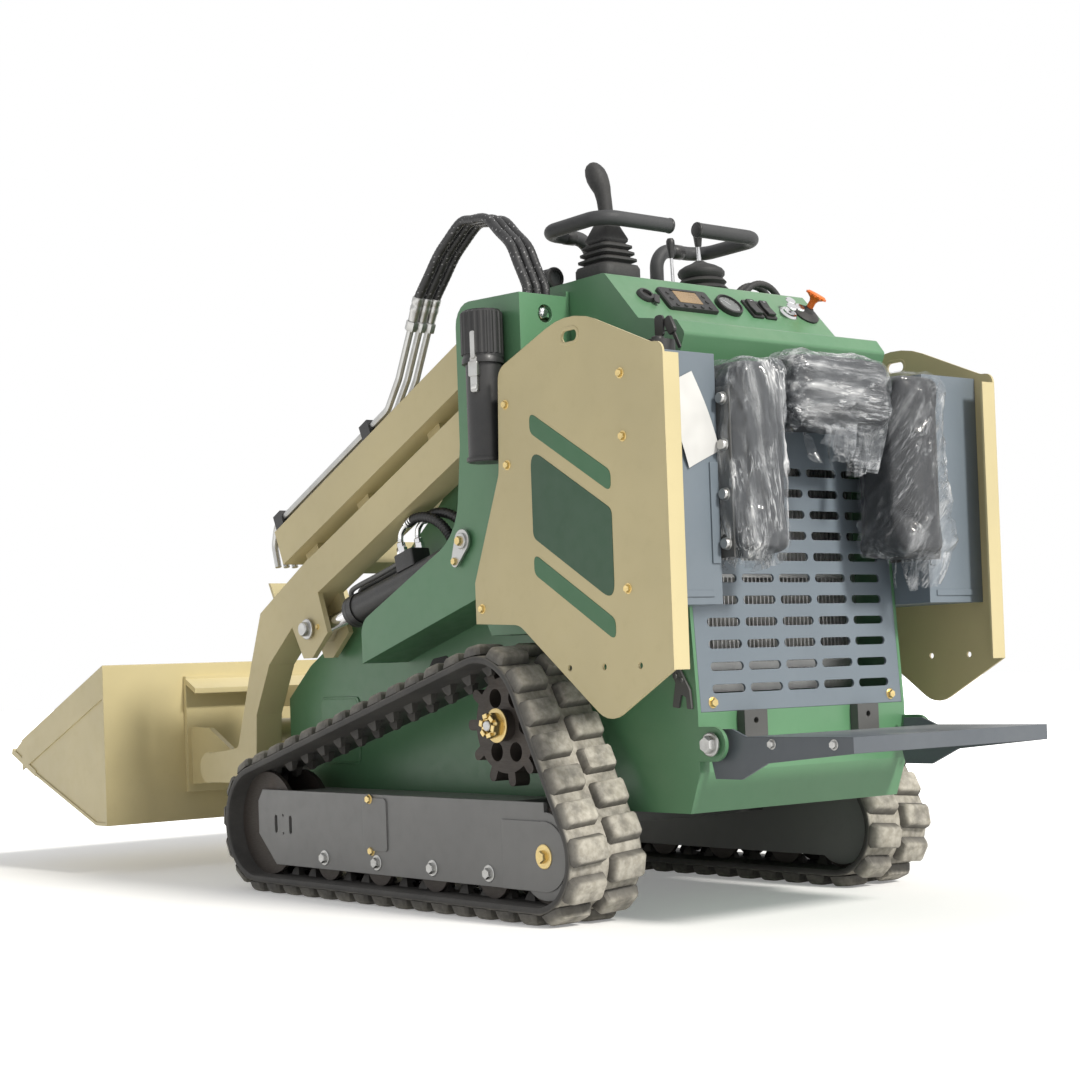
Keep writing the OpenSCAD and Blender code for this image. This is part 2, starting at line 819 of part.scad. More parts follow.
module joystick() {
  fold = (stick_boot_h - stick_base_h) / stick_folds;
  neck = stick_boot_r - (stick_folds + 1) * stick_step;
  grip_z = stick_z - console_z - fit - stick_grip_h;
  color("black") placed() translate([stick_x, stick_y, console_z + fit]) {
    boot_step(stick_boot_r, 0, stick_base_h);
    boot_step(neck, 0, stick_boot_h);
    for (i = [1 : stick_folds])
      boot_step(stick_boot_r - i * stick_step, stick_base_h + (i - fold_share) * fold, fold * fold_share);
    translate([0, 0, stick_boot_h])
      cylinder(r1 = neck - stick_step, r2 = neck * collar_share, h = stick_collar_h);
    cylinder(r = stick_r * 2 / 3, h = grip_z);
    translate([0, 0, grip_z]) cylinder(r1 = stick_r * 2 / 3, r2 = stick_r, h = stick_grip_h - stick_r);
    translate([0, 0, grip_z + stick_grip_h - stick_r]) sphere(r = stick_r);
  }
}

module lever(y, h) {
  translate([stick_x, y, console_z + fit]) {
    cylinder(r1 = lever_boot_r, r2 = lever_r, h = lever_boot_h);
    cylinder(r = lever_r, h = h);
    translate([0, 0, h]) sphere(r = knob_r);
  }
}

module levers() {
  color("silver") placed() {
    lever(0, lever_h);
    lever(-lever_step, lever_h + knob_r);
  }
}

// The control face's own frame: along it from its low edge, across the machine, and out of it
module on_face() {
  a = console_points[5];
  b = console_points[4];
  translate([a[0], 0, a[1]]) rotate([0, -atan2(b[1] - a[1], b[0] - a[0]), 0]) children();
}

module instruments() {
  face = norm(console_points[4] - console_points[5]);
  color("black") placed() on_face() {
    translate([face / 4, display_y, fit]) cube([face / 2, display_w, display_t]);
    translate([face / 2, gauge_y, fit]) cylinder(r = gauge_r, h = display_t);
    for (i = [0, 1])
      translate([face / 4, switch_y - i * 2 * switch_w, fit]) cube([face / 2, switch_w, display_t]);
    translate([face / 2, key_y, fit]) cylinder(r = key_r, h = 2 * display_t);
  }
}

module throttle_knob() {
  face = norm(console_points[4] - console_points[5]);
  color("orangered") placed() on_face() translate([face / 2, throttle_y, fit]) {
    cylinder(r = lever_r, h = knob_r * 2);
    translate([0, 0, knob_r * 2]) sphere(r = knob_r);
  }
}

// Round case for papers on the left tower
module canister() {
  x = tower_x + tower_w / 2 - canister_set;
  y = tower_face + fit + canister_r;
  z = pivot_z - canister_drop;
  color("black") placed() difference() {
    union() {
      translate([x, y, z]) cylinder(r = canister_r, h = canister_h);
      translate([x, y, z + canister_h - canister_cap_h])
        cylinder(r = canister_r + canister_cap_out, h = canister_cap_h - canister_r / 2);
    }
    translate([x - canister_r, tower_face - canister_cap_out, z - over])
      cube([2 * canister_r, canister_cap_out + 2 * fit, canister_h + 2 * over]);
  }
}

// Round work lamp on the console's left front
module lamp() {
  color("black") placed() translate([console_points[3][0] - lamp_set, lamp_y, console_z + fit]) {
    cylinder(r = lamp_r / 3, h = lamp_r);
    translate([0, -lamp_len / 2, lamp_r]) rotate([-90, 0, 0]) cylinder(r = lamp_r - fit, h = lamp_len);
  }
}

// Tracks: one loop around the idlers and the sprocket
wheels = [[rear_x, rear_x], [front_x, front_z], [sprocket_x, sprocket_z]];
wheel_rs = [rear_wheel_r, front_wheel_r, sprocket_r];

module loop(grow) {
  polygon([
    for (i = [0 : 2])
    let (k = (i + 1) % 3)
    each tangent(wheels[i], wheel_rs[i] + grow, wheels[k], wheel_rs[k] + grow)
  ]);
  for (i = [0 : 2]) translate(wheels[i]) circle(r = wheel_rs[i] + grow);
}

// The loop's stretches: on each wheel an arc, then the straight line to the next wheel
function turn_of(i) =
  let (k = (i + 1) % 3, d = wheels[k] - wheels[i])
  atan2(d[1], d[0]) - acos((wheel_rs[i] - wheel_rs[k]) / norm(d));
function arc_of(i) = (turn_of(i) - turn_of((i + 2) % 3) + 720) % 360;
function arc_len(i) = (wheel_rs[i] + belt_t) * arc_of(i) * PI / 180;
function run_len(i) =
  let (k = (i + 1) % 3)
  sqrt(pow(norm(wheels[k] - wheels[i]), 2) - pow(wheel_rs[i] - wheel_rs[k], 2));
function starts(i) = i == 0 ? 0 : starts(i - 1) + arc_len(i - 1) + run_len(i - 1);
loop_len = starts(3);
lug_n = round(loop_len / lug_pitch);

// Place and outward direction on the belt's outside, at the distance d along it from the rear wheel's arc
function loop_spot(d, i = 0) =
  d >= starts(i + 1) && i < 2 ? loop_spot(d, i + 1)
  : let (
      e = d - starts(i),
      r = wheel_rs[i] + belt_t,
      on_arc = e < arc_len(i),
      w = on_arc ? turn_of((i + 2) % 3) + e * 180 / PI / r : turn_of(i),
      f = on_arc ? 0 : e - arc_len(i)
    )
    [wheels[i] + r * [cos(w), sin(w)] + f * [-sin(w), cos(w)], w];

module lugs(phase) {
  for (i = [0 : lug_n - 1]) {
    spot = loop_spot((i + phase) * loop_len / lug_n);
    translate(spot[0]) rotate(spot[1]) translate([-lug_sink, -lug_len / 2])
      square([lug_h + lug_sink, lug_len]);
  }
}

module track(left) {
  color("dimgray") placed() hand(left)
    for (side = [0, 1])
      plate(track_y - side * track_w / 2, track_w / 2) difference() {
        union() {
          loop(belt_t);
          lugs(side / 2);
        }
        loop(fit);
      }
}

frame_low = belt_t + lug_h + roller_r / 2;
frame_x0 = rear_x;
frame_len = front_x + frame_ahead - frame_x0;
roller_x0 = rear_x + roller_first;

module frame_outline() {
  polygon(from_shares(frame_shares, [frame_x0, frame_low], [frame_len, frame_top_z - frame_low]));
  translate([rear_x, rear_x]) circle(r = rear_wheel_r - side_gap);
}

// Raised covers on the outer plate: around the rear axle, and over the grease port
module frame_covers() {
  polygon(from_shares(cover_shares, [rear_x, frame_low], [cover_len, frame_top_z - frame_low]));
  translate([rear_x, rear_x]) circle(r = rear_x - frame_low);
  polygon(rounded_box([roller_x0 + roller_pitch * 7 / 4, roller_z + roller_r / 2],
    [port_len, port_h], panel_round));
}

// Two upright slots and two small holes for setting the track's tension
module tension_slots() {
  translate([front_x - tension_set, front_z]) {
    for (x = [-tension_gap / 2, tension_gap / 2]) translate([x, 0]) {
      square([tension_w, tension_len - tension_w], center = true);
      for (z = [-1, 1]) translate([0, z * (tension_len - tension_w) / 2]) circle(r = tension_w / 2);
    }
    for (z = [-tension_len / 2, tension_len / 2]) translate([0, z]) circle(r = tension_w / 4);
  }
}

module track_frame(left) {
  color("dimgray") placed() hand(left) {
    plate(frame_y, frame_t) frame_outline();
    plate(frame_y + frame_w - frame_t, frame_t) difference() {
      frame_outline();
      tension_slots();
    }
    plate(frame_y + frame_w, cover_t) frame_covers();
    beam_x0 = rear_x + rear_wheel_r + side_gap;
    beam_x1 = front_x - front_wheel_r - side_gap;
    beam_z0 = roller_z + roller_r + side_gap;
    translate([beam_x0, frame_y + frame_t, beam_z0])
      cube([beam_x1 - beam_x0, frame_w - 2 * frame_t, frame_top_z - beam_z0]);
    for (p = axles) bar(p, axle_r, frame_y, frame_w);
  }
}

axles = concat(
  [[rear_x, rear_x], [front_x, front_z]],
  [for (i = [0 : roller_n - 1]) [roller_x0 + i * roller_pitch, roller_z]]
);
axle_wheels = concat([rear_wheel_r, front_wheel_r], [for (i = [1 : roller_n]) roller_r]);

module track_wheels(left) {
  y = frame_y + frame_t + fit;
  w = frame_w - 2 * frame_t - 2 * fit;
  color("gray") placed() hand(left)
    for (i = [0 : len(axles) - 1]) difference() {
      union() {
        bar(axles[i], axle_wheels[i] * hub_share, y, w);
        bar(axles[i], axle_wheels[i], y, flange_w);
        bar(axles[i], axle_wheels[i], y + w - flange_w, flange_w);
      }
      bar(axles[i], axle_r + play, y - over, w + 2 * over);
    }
}

module sprocket_tooth() {
  tip = sprocket_r - fit - tooth_w / 2;
  translate([0, -tooth_w / 2]) square([tip, tooth_w]);
  translate([tip, 0]) circle(r = tooth_w / 2);
}

module sprocket(left) {
  c = [sprocket_x, sprocket_z];
  y = track_y - sprocket_t / 2;
  rim = sprocket_r * rim_share;
  color("saddlebrown") placed() hand(left) {
    difference() {
      union() {
        bar(c, rim, y, sprocket_t);
        for (i = [0 : tooth_n - 1]) {
          plate(y, sprocket_t) translate(c) rotate(i * 360 / tooth_n)
            sprocket_tooth();
        }
      }
      for (i = [1 : web_hole_n])
        bar(c + rim * hole_share * [cos(i * 360 / web_hole_n), sin(i * 360 / web_hole_n)],
          rim * web_hole_share,
          y - over, sprocket_t + 2 * over);
    }
    bar(c, rim / 3, y, sprocket_t + hub_out);
    bar(c, motor_r, wall_y + fit, y - wall_y - fit);
  }
}

module cross_beams() {
  color("dimgray") placed()
    for (x = [roller_x0 + roller_pitch / 2, roller_x0 + roller_pitch * 5 / 2])
      translate([x - beam_w / 2, fit - frame_y, belly_z - fit - beam_h])
        cube([beam_w, 2 * (frame_y - fit), beam_h]);
}

// Two angle brackets on the rear plate, each with two bolt holes
module rear_brackets() {
  z = platform_z + platform_back / 2;
  color("black") placed()
    for (y = [-bracket_y, bracket_y]) difference() {
      translate([tail_x - fit - bracket_t, y - bracket_w / 2, z - bracket_hole_gap])
        cube([bracket_t, bracket_w, 2 * bracket_hole_gap]);
      for (s = [-1, 1])
        translate([tail_x - bracket_t - over, y, z + s * bracket_hole_gap / 2]) rotate([0, 90, 0])
          cylinder(r = bracket_hole_r, h = bracket_t + 2 * over);
    }
}

// Lift arm: twin bars on each side, the bent legs, and what joins the two sides
leg_x0 = pivot_x + leg_rear_dx;
leg_z0 = hitch_pin[1] - hitch_boss_r - side_gap;
leg_z1 = pivot_z - leg_top_dz;
leg_points = from_shares(leg_shares, [leg_x0, leg_z0], [hitch_pin[0] - leg_x0, leg_z1 - leg_z0]);
leg_radii = [0, 0, 0, 0, leg_round, 0, 0, leg_round, 0, 0, 0];
leg_tube_at = [pivot_x + leg_tube_dx, pivot_z - leg_tube_dz];
leg_knee = (leg_points[3] + leg_points[7]) / 2;
guard_low = [pivot_x + guard_dx, pivot_z - guard_dz];
guard_points = [
  guard_low, guard_low + [guard_t, 0], guard_low + [guard_run + guard_t, guard_rise],
  guard_low + [guard_run, guard_rise]
];
ear_points = from_shares(ear_shares, rod_pin - [ear_len / 2, ear_h * ear_up_share], [ear_len, ear_h]);

module arm_outline() {
  translate([pivot_x, pivot_z]) rotate(-bar_fall) {
    translate([0, bar_gap / 2]) square([bar_len + bar_h, bar_h]);
    translate([0, -bar_gap / 2 - bar_h]) square([bar_len, bar_h]);
  }
  translate([pivot_x, pivot_z]) circle(r = arm_boss_r);
  polygon(rounded(leg_points, leg_radii));
  translate(hitch_pin) circle(r = hitch_boss_r);
}

module arm_side() {
  difference() {
    plate(arm_y0, bar_w) arm_outline();
    bar([pivot_x, pivot_z], pivot_r + play, arm_y0 - over, bar_w + 2 * over);
  }
  for (y = [arm_y0, arm_y1 - ear_plate_t]) {
    plate(y, ear_plate_t) polygon(ear_points);
  }
  plate(arm_y0, bar_w) translate(leg_knee)
    rotate(atan2(leg_tube_at[1] - leg_knee[1], leg_tube_at[0] - leg_knee[0]))
    translate([0, -leg_tube_r / 2]) square([norm(leg_tube_at - leg_knee), leg_tube_r]);
  bar(rod_pin, base_pin_r, arm_y1, pin_head_t);
  bar(hitch_pin, hitch_pin_r, arm_y0 - side_gap - hitch_t - pin_head_t, side_gap + hitch_t + pin_head_t);
}

// A point given along the bars and square to them
function on_bars(u, n) = [
  pivot_x + u * cos(bar_fall) + n * sin(bar_fall),
  pivot_z - u * sin(bar_fall) + n * cos(bar_fall)
];

torque_at = on_bars(torque_u, 0);

module lift_arm() {
  color("tan") placed() {
    arm_side();
    mirror([0, 1, 0]) arm_side();
    for (i = [1 : cross_n])
      plate(-arm_y, 2 * arm_y) translate(on_bars(i * cross_step, 0)) rotate(-bar_fall)
        square([cross_h, cross_h], center = true);
    plate(-arm_y, 2 * arm_y) translate(torque_at) rotate(-bar_fall)
      square([torque_w, torque_w], center = true);
    bar(leg_tube_at, leg_tube_r, -arm_y, 2 * arm_y);
    for (y = [-tilt_gap / 2 - ear_plate_t, tilt_gap / 2])
      plate(y, ear_plate_t) {
        translate(tilt_base) circle(r = tilt_eye_r);
        translate(torque_at) rotate(atan2(tilt_base[1] - torque_at[1], tilt_base[0] - torque_at[0]))
          translate([0, -tilt_eye_r]) square([norm(tilt_base - torque_at), 2 * tilt_eye_r]);
      }
    bar(tilt_base, tilt_pin_r, -tilt_gap / 2 - ear_plate_t, tilt_gap + 2 * ear_plate_t);
    for (left = [true, false]) hand(left)
      plate(guard_notch / 2, arm_y0 - guard_notch / 2 + fit)
        polygon(guard_points);
  }
}

// Steel tubes and their clamps on the left upper bar
tube_path = [for (s = tube_shares) on_bars(s[0] * bar_len, s[1] * bar_h + tube_r)];

module arm_tubes() {
  color("silver") placed()
    for (i = [-1 : 1])
      swept(bent(tube_path, 4 * tube_r), tube_r, arm_y + i * tube_pitch);
}

module tube_clamps() {
  color("gray") placed()
    for (u = clamp_shares) difference() {
      plate(arm_y0, bar_w) translate(on_bars(u * bar_len, bar_gap / 2 + bar_h + fit)) rotate(-bar_fall)
        square([clamp_len, clamp_h]);
      for (i = [-1 : 1])
        rod(on_bars(0, tube_n), on_bars(2 * bar_len, tube_n), tube_r + play, arm_y + i * tube_pitch);
    }
}

// Hoses that loop from the left tower to the arm's tubes
hose_from = [tower_x + tower_t + hose_set, tower_top_z - hose_drop];
hose_route = concat(
  from_shares(hose_shares, hose_from, [hose_run, hose_rise]),
  [for (lead = [hose_lead, fit]) tube_path[0] + lead * unit(tube_path[0] - tube_path[1])]
);

module hoses() {
  color("black") placed()
    for (i = [-1 : 1])
      swept(bent(hose_route, 4 * hose_r), hose_r, arm_y + i * tube_pitch);
}

// Lift cylinders: a barrel on the tower's pin and a rod whose eye sits between the arm's ears
function along(a, turn, d) = a + d * [cos(turn), sin(turn)];

module lift_barrel(left) {
  color("black") placed() hand(left) difference() {
    union() {
      bar(base_pin, rod_eye_r, arm_y - eye_w / 2, eye_w);
      rod(base_pin, along(base_pin, lift_turn, lift_len * barrel_share), lift_r, arm_y);
      rod(along(base_pin, lift_turn, lift_len * barrel_share - gland_len),
        along(base_pin, lift_turn, lift_len * barrel_share + gland_out), lift_r + gland_out, arm_y);
    }
    bar(base_pin, base_pin_r + play, arm_y - bar_w, 2 * bar_w);
    rod(along(base_pin, lift_turn, lift_head), along(base_pin, lift_turn, lift_len), lift_rod_r + play,
      arm_y);
  }
}

module lift_rod(left) {
  color("silver") placed() hand(left) {
    rod(along(base_pin, lift_turn, lift_head + rod_set), rod_pin, lift_rod_r, arm_y);
    bar(rod_pin, rod_eye_r, arm_y - eye_w / 2, eye_w);
  }
}

// Tilt cylinder in the middle, between the arm's torque tube and the hitch
module tilt_barrel() {
  color("black") placed() difference() {
    union() {
      bar(tilt_base, tilt_eye_r, -tilt_w / 2, tilt_w);
      rod(tilt_base, along(tilt_base, tilt_turn, tilt_neck), tilt_eye_r - tilt_step, 0);
      rod(along(tilt_base, tilt_turn, tilt_eye_r + side_gap),
        along(tilt_base, tilt_turn, tilt_len * barrel_share), tilt_r, 0);
    }
    bar(tilt_base, tilt_pin_r + play, -tilt_gap, 2 * tilt_gap);
    rod(along(tilt_base, tilt_turn, tilt_head), tilt_pin, tilt_rod_r + play, 0);
  }
}

module tilt_rod() {
  color("silver") placed() {
    rod(along(tilt_base, tilt_turn, tilt_head + rod_set), tilt_pin, tilt_rod_r, 0);
    bar(tilt_pin, tilt_eye_r, -tilt_w / 2, tilt_w);
  }
}

// Hitch: a plate behind the bucket with ears for the arm's pins and for the tilt rod
hitch_back = bucket_x - fit - hitch_t;
hitch_ear_y = arm_y0 - side_gap - hitch_t;
hitch_low = hitch_pin[1] - hitch_drop;

module hitch() {
  color("black") placed() {
    translate([hitch_back, -hitch_w / 2, hitch_low]) cube([hitch_t, hitch_w, hitch_h]);
    plate(-hitch_w / 2, hitch_w) translate([hitch_back + hitch_t, hitch_low + hitch_h])
      polygon([
        [0, 0],
        [-hitch_lip, -hitch_lip / 2],
        [-hitch_lip, -hitch_lip / 2 - hitch_t],
        [0, -hitch_t]
      ]);
    for (left = [true, false]) hand(left) {
      difference() {
        plate(hitch_ear_y, hitch_t) {
          translate(hitch_pin) circle(r = hitch_boss_r);
          polygon(from_shares(hitch_ear_shares, hitch_pin - [0, hitch_ear_h / 3],
            [hitch_back - hitch_pin[0] + over, hitch_ear_h]));
        }
        bar(hitch_pin, hitch_pin_r + play, hitch_ear_y - over, hitch_t + 2 * over);
      }
      plate(tilt_gap / 2, hitch_t) {
        translate(tilt_pin) circle(r = tilt_eye_r);
        translate(tilt_pin - [0, tilt_eye_r]) square([hitch_back - tilt_pin[0] + over, 2 * tilt_eye_r]);
      }
      bar(tilt_pin, tilt_pin_r, tilt_gap / 2 + hitch_t, pin_head_t);
    }
  }
}

// Bucket: a bent sheet for back and floor, and two cheeks
bucket_points = from_shares(bucket_shares, [bucket_x, bucket_z], [bucket_len, bucket_h]);
bucket_ids = [0, 1, 2, 3, 4];
edge_run = bucket_points[4] - bucket_points[3];
edge_turn = atan2(edge_run[1], edge_run[0]);

module bucket() {
  color("tan") placed() {
    plate(-bucket_w / 2, bucket_w) polygon(sheet_points(bucket_points, bucket_t, bucket_ids));
    for (left = [true, false]) hand(left) {
      plate(bucket_w / 2 - bucket_t, bucket_t - band_t) polygon(bucket_points);
      plate(bucket_w / 2 - band_t, band_t) polygon([
        bucket_points[0], bucket_points[0] - [0, band_w], bucket_points[5] - [0, band_w], bucket_points[5]
      ]);
    }
    plate(-bucket_w / 2, bucket_w) translate(bucket_points[4]) rotate(edge_turn)
      translate([-edge_len, 0]) square([edge_len, edge_t]);
  }
}

// Folding platform: two side plates, the deck and its rear edge, and the pivot pins
platform_points = from_shares(platform_shares, [stern_x, platform_z - platform_drop],
  [platform_x + platform_front - stern_x, platform_drop + platform_rise]);

module platform() {
  y1 = platform_w / 2;
  pin_y0 = min(y1 - platform_t, wall_y - wall_t - side_gap);
  pin_y1 = max(y1, wall_y + pin_head_t);
  deck_x = platform_points[7][0];
  deck_top = platform_points[8][1];
  color("slategray") placed() {
    for (y = [-y1, y1 - platform_t])
      plate(y, platform_t) polygon(platform_points);
    translate([stern_x, -y1, deck_top - platform_t]) cube([deck_x - stern_x, platform_w, platform_t]);
    translate([stern_x, -y1, platform_points[0][1]])
      cube([platform_t, platform_w, deck_top - platform_points[0][1]]);
    for (left = [true, false]) hand(left)
      bar([platform_x, platform_z], platform_pin_r, pin_y0, pin_y1 - pin_y0);
  }
}

chassis_tub();
hood();
tower(true);  // tower_left
tower(false);  // tower_right
shield(true);  // shield_left
shield(false);  // shield_right
console();
rear_grille();
radiator();
engine();
tank(true);  // tank_left
tank(false);  // tank_right
filler_cap();
pad(pad_y, pad_w, pad_low_z, pad_h);  // pad_left
pad(-pad_y - pad_w, pad_w, pad_low_z, pad_h);  // pad_right
pad(-center_pad_w / 2, center_pad_w, center_pad_z, center_pad_h);  // pad_center
pad_brackets();
handrail(true);  // handrail_left
handrail(false);  // handrail_right
joystick();
levers();
instruments();
throttle_knob();
canister();
track_frame(true);  // track_frame_left
track_frame(false);  // track_frame_right
track(true);  // track_left
track(false);  // track_right
sprocket(true);  // sprocket_left
sprocket(false);  // sprocket_right
track_wheels(true);  // track_wheels_left
track_wheels(false);  // track_wheels_right
cross_beams();
rear_brackets();
lamp();
lift_arm();
arm_tubes();
tube_clamps();
hoses();
lift_barrel(true);  // lift_barrel_left
lift_barrel(false);  // lift_barrel_right
lift_rod(true);  // lift_rod_left
lift_rod(false);  // lift_rod_right
tilt_barrel();
tilt_rod();
hitch();
bucket();
platform();
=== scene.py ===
"""Looks of the compact track loader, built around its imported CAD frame. Metres, Z up, X to the bucket."""
import math
import random
from math import cos, radians, sin, tau

import bmesh
import bpy
from mathutils import Matrix, Vector, noise
from mathutils.bvhtree import BVHTree


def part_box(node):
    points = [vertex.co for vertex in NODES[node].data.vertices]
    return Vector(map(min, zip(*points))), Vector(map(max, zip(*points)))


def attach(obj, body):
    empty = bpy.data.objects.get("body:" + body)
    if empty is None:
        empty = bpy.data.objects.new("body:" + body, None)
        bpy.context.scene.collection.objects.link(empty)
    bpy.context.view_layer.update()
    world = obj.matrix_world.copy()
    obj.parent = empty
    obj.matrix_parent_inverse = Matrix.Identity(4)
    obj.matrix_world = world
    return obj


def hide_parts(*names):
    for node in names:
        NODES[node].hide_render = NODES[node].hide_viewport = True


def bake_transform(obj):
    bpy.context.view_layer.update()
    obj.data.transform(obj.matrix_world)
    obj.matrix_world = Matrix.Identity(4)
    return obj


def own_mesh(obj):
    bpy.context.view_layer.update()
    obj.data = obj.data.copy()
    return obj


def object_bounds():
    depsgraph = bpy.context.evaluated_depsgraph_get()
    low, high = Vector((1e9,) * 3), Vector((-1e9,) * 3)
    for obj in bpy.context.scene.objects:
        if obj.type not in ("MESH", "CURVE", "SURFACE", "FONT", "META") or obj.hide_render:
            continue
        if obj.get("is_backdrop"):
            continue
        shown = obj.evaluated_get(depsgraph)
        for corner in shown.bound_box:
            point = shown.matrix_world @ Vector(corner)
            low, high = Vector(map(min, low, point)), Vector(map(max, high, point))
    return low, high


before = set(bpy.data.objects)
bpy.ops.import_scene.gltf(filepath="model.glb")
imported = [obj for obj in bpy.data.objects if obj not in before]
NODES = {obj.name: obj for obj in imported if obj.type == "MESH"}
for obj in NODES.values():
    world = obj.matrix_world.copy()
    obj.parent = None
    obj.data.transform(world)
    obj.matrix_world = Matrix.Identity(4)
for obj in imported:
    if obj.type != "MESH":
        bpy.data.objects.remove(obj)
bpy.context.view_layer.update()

# Stations along X are counted from the rear-most lug tip, as in the part's source
X_MID = 0.952
ARM_Y = 0.341
X, Y, Z = Vector((1, 0, 0)), Vector((0, 1, 0)), Vector((0, 0, 1))
SIDES = {"left": 1, "right": -1}


def at(x, y, z):
    """A point given by its station, in the row frame."""
    return Vector((x - X_MID, y, z))


class Shader:
    """The node tree of a material, or of the world, with short calls for the nodes that the looks use."""

    def __init__(self, name, kind=bpy.data.materials, main="Principled BSDF"):
        self.mat = kind.new(name)
        self.mat.use_nodes = True
        self.tree = self.mat.node_tree
        self.bsdf = self.tree.nodes[main]
        self.coords = self.node("TexCoord", "Object")

    def put(self, socket, value):
        if isinstance(value, bpy.types.NodeSocket):
            self.tree.links.new(value, socket)
        elif isinstance(value, tuple) and len(value) == 3 and len(socket.default_value) == 4:
            socket.default_value = (*value, 1)
        else:
            socket.default_value = value

    def node(self, kind, out=0, inputs=None, **settings):
        """The output of a new node with these inputs and settings."""
        n = self.tree.nodes.new("ShaderNode" + kind)
        for key, value in settings.items():
            setattr(n, key, value)
        for key, value in (inputs or {}).items():
            self.put(n.inputs[key], value)
        return n.outputs[out]

    def noise(self, scale, detail=3, rough=0.55, vector=None):
        return self.node("TexNoise", 0, {"Vector": vector or self.coords, "Scale": scale, "Detail": detail,
                                         "Roughness": rough})

    def math(self, op, a, b=0.0, clamp=False):
        return self.node("Math", 0, {0: a, 1: b}, operation=op, use_clamp=clamp)

    def times(self, a, b, clamp=False):
        return self.math("MULTIPLY", a, b, clamp)

    def ramp(self, value, low, high, to_low=0.0, to_high=1.0):
        ends = dict(enumerate((value, low, high, to_low, to_high)))
        return self.node("MapRange", 0, ends, interpolation_type="SMOOTHSTEP")

    def mix(self, share, a, b):
        return self.node("Mix", 2, {0: share, 6: a, 7: b}, data_type="RGBA")

    def dot(self, a, b):
        return self.node("VectorMath", "Value", {0: a, 1: b}, operation="DOT_PRODUCT")

    def facing_up(self):
        return self.node("SeparateXYZ", 2, {0: self.node("NewGeometry", "Normal")})

    def scaled(self, *scale):
        return self.node("Mapping", 0, {"Vector": self.coords, "Scale": scale})

    def attribute(self, name):
        return self.node("Attribute", "Fac", attribute_name=name)

    def bump(self, height, strength, distance=0.001, normal=None):
        inputs = {"Strength": strength, "Distance": distance, "Height": height}
        if normal is not None:
            inputs["Normal"] = normal
        return self.node("Bump", 0, inputs)

    def soft_edges(self, radius, low, high):
        """A normal that rounds edges within radius, and where it does: 0 on flats, 1 on edges."""
        soft = self.node("Bevel", 0, {"Radius": radius}, samples=6)
        return soft, self.ramp(self.dot(soft, self.node("NewGeometry", "Normal")), high, low)

    def backdrop(self):
        """1 for the rays that see the pale background, 0 for those that light the object."""
        rays = self.node("LightPath", "Is Camera Ray")
        for kind in ("Is Glossy Ray", "Is Transmission Ray"):
            rays = self.math("MAXIMUM", rays, self.node("LightPath", kind))
        return rays

    def set(self, **values):
        for key, value in values.items():
            self.put(self.bsdf.inputs[key.replace("_", " ")], value)
        return self.mat


def dark(c, k):
    return tuple(min(1.0, k * v) for v in c)


def paint(name, colour, rough=0.42, dust=0.25, dust_colour=(0.50, 0.46, 0.38), grain=0.07, wear=0.35,
          coat=0.15):
    """Sprayed paint: broad tone changes, orange peel, dust on what faces up, and bare bright edges."""
    s = Shader(name)
    broad = s.noise(2.3, 3)
    fine = s.noise(38.0, 4)
    tone = s.mix(s.ramp(broad, 0.3, 0.7), dark(colour, 1 - grain), dark(colour, 1 + grain))
    tone = s.mix(s.times(s.ramp(fine, 0.50, 0.80), 0.10), tone, dark(colour, 0.72))
    up = s.ramp(s.facing_up(), 0.35, 0.95)
    patch = s.ramp(s.noise(5.0, 5, 0.6), 0.30, 0.80)
    veil = s.times(s.math("ADD", up, 0.12), s.times(patch, dust), True)
    tone = s.mix(veil, tone, dust_colour)
    rounded, edge = s.soft_edges(0.0022, 0.80, 0.97)
    edge = s.times(edge, s.ramp(s.noise(60.0, 4), 0.42, 0.62))
    tone = s.mix(s.times(edge, wear), tone, tuple(min(1, 1.35 * v + 0.05) for v in colour))
    shine = s.math("ADD", s.ramp(fine, 0.2, 0.8, rough - 0.05, rough + 0.07), s.times(veil, 0.3), True)
    peel = s.bump(s.noise(420.0, 2), 0.05, 0.0004, rounded)
    return s.set(Base_Color=tone, Roughness=shine, Normal=s.bump(broad, 0.04, 0.004, peel), Coat_Weight=coat,
                 Coat_Roughness=0.25)


def rubber(name, colour, rough=0.75, dust=0.0, dust_colour=(0.30, 0.28, 0.24), scale=300.0):
    """Moulded rubber or plastic: fine grain, faint flow marks and a thin veil of dust."""
    s = Shader(name)
    broad = s.noise(5.0, 3)
    grainy = s.noise(scale, 3)
    tone = s.mix(s.ramp(broad, 0.3, 0.7), dark(colour, 0.85), dark(colour, 1.2))
    if dust:
        up = s.ramp(s.facing_up(), -0.3, 1.0, 0.25, 1.0)
        veil = s.times(s.ramp(s.noise(22.0, 4, 0.6), 0.30, 0.85), up)
        tone = s.mix(s.times(veil, dust), tone, dust_colour)
    return s.set(Base_Color=tone, Normal=s.bump(grainy, 0.2, 0.0005),
                 Roughness=s.ramp(grainy, 0.2, 0.8, rough - 0.08, min(1, rough + 0.1)))


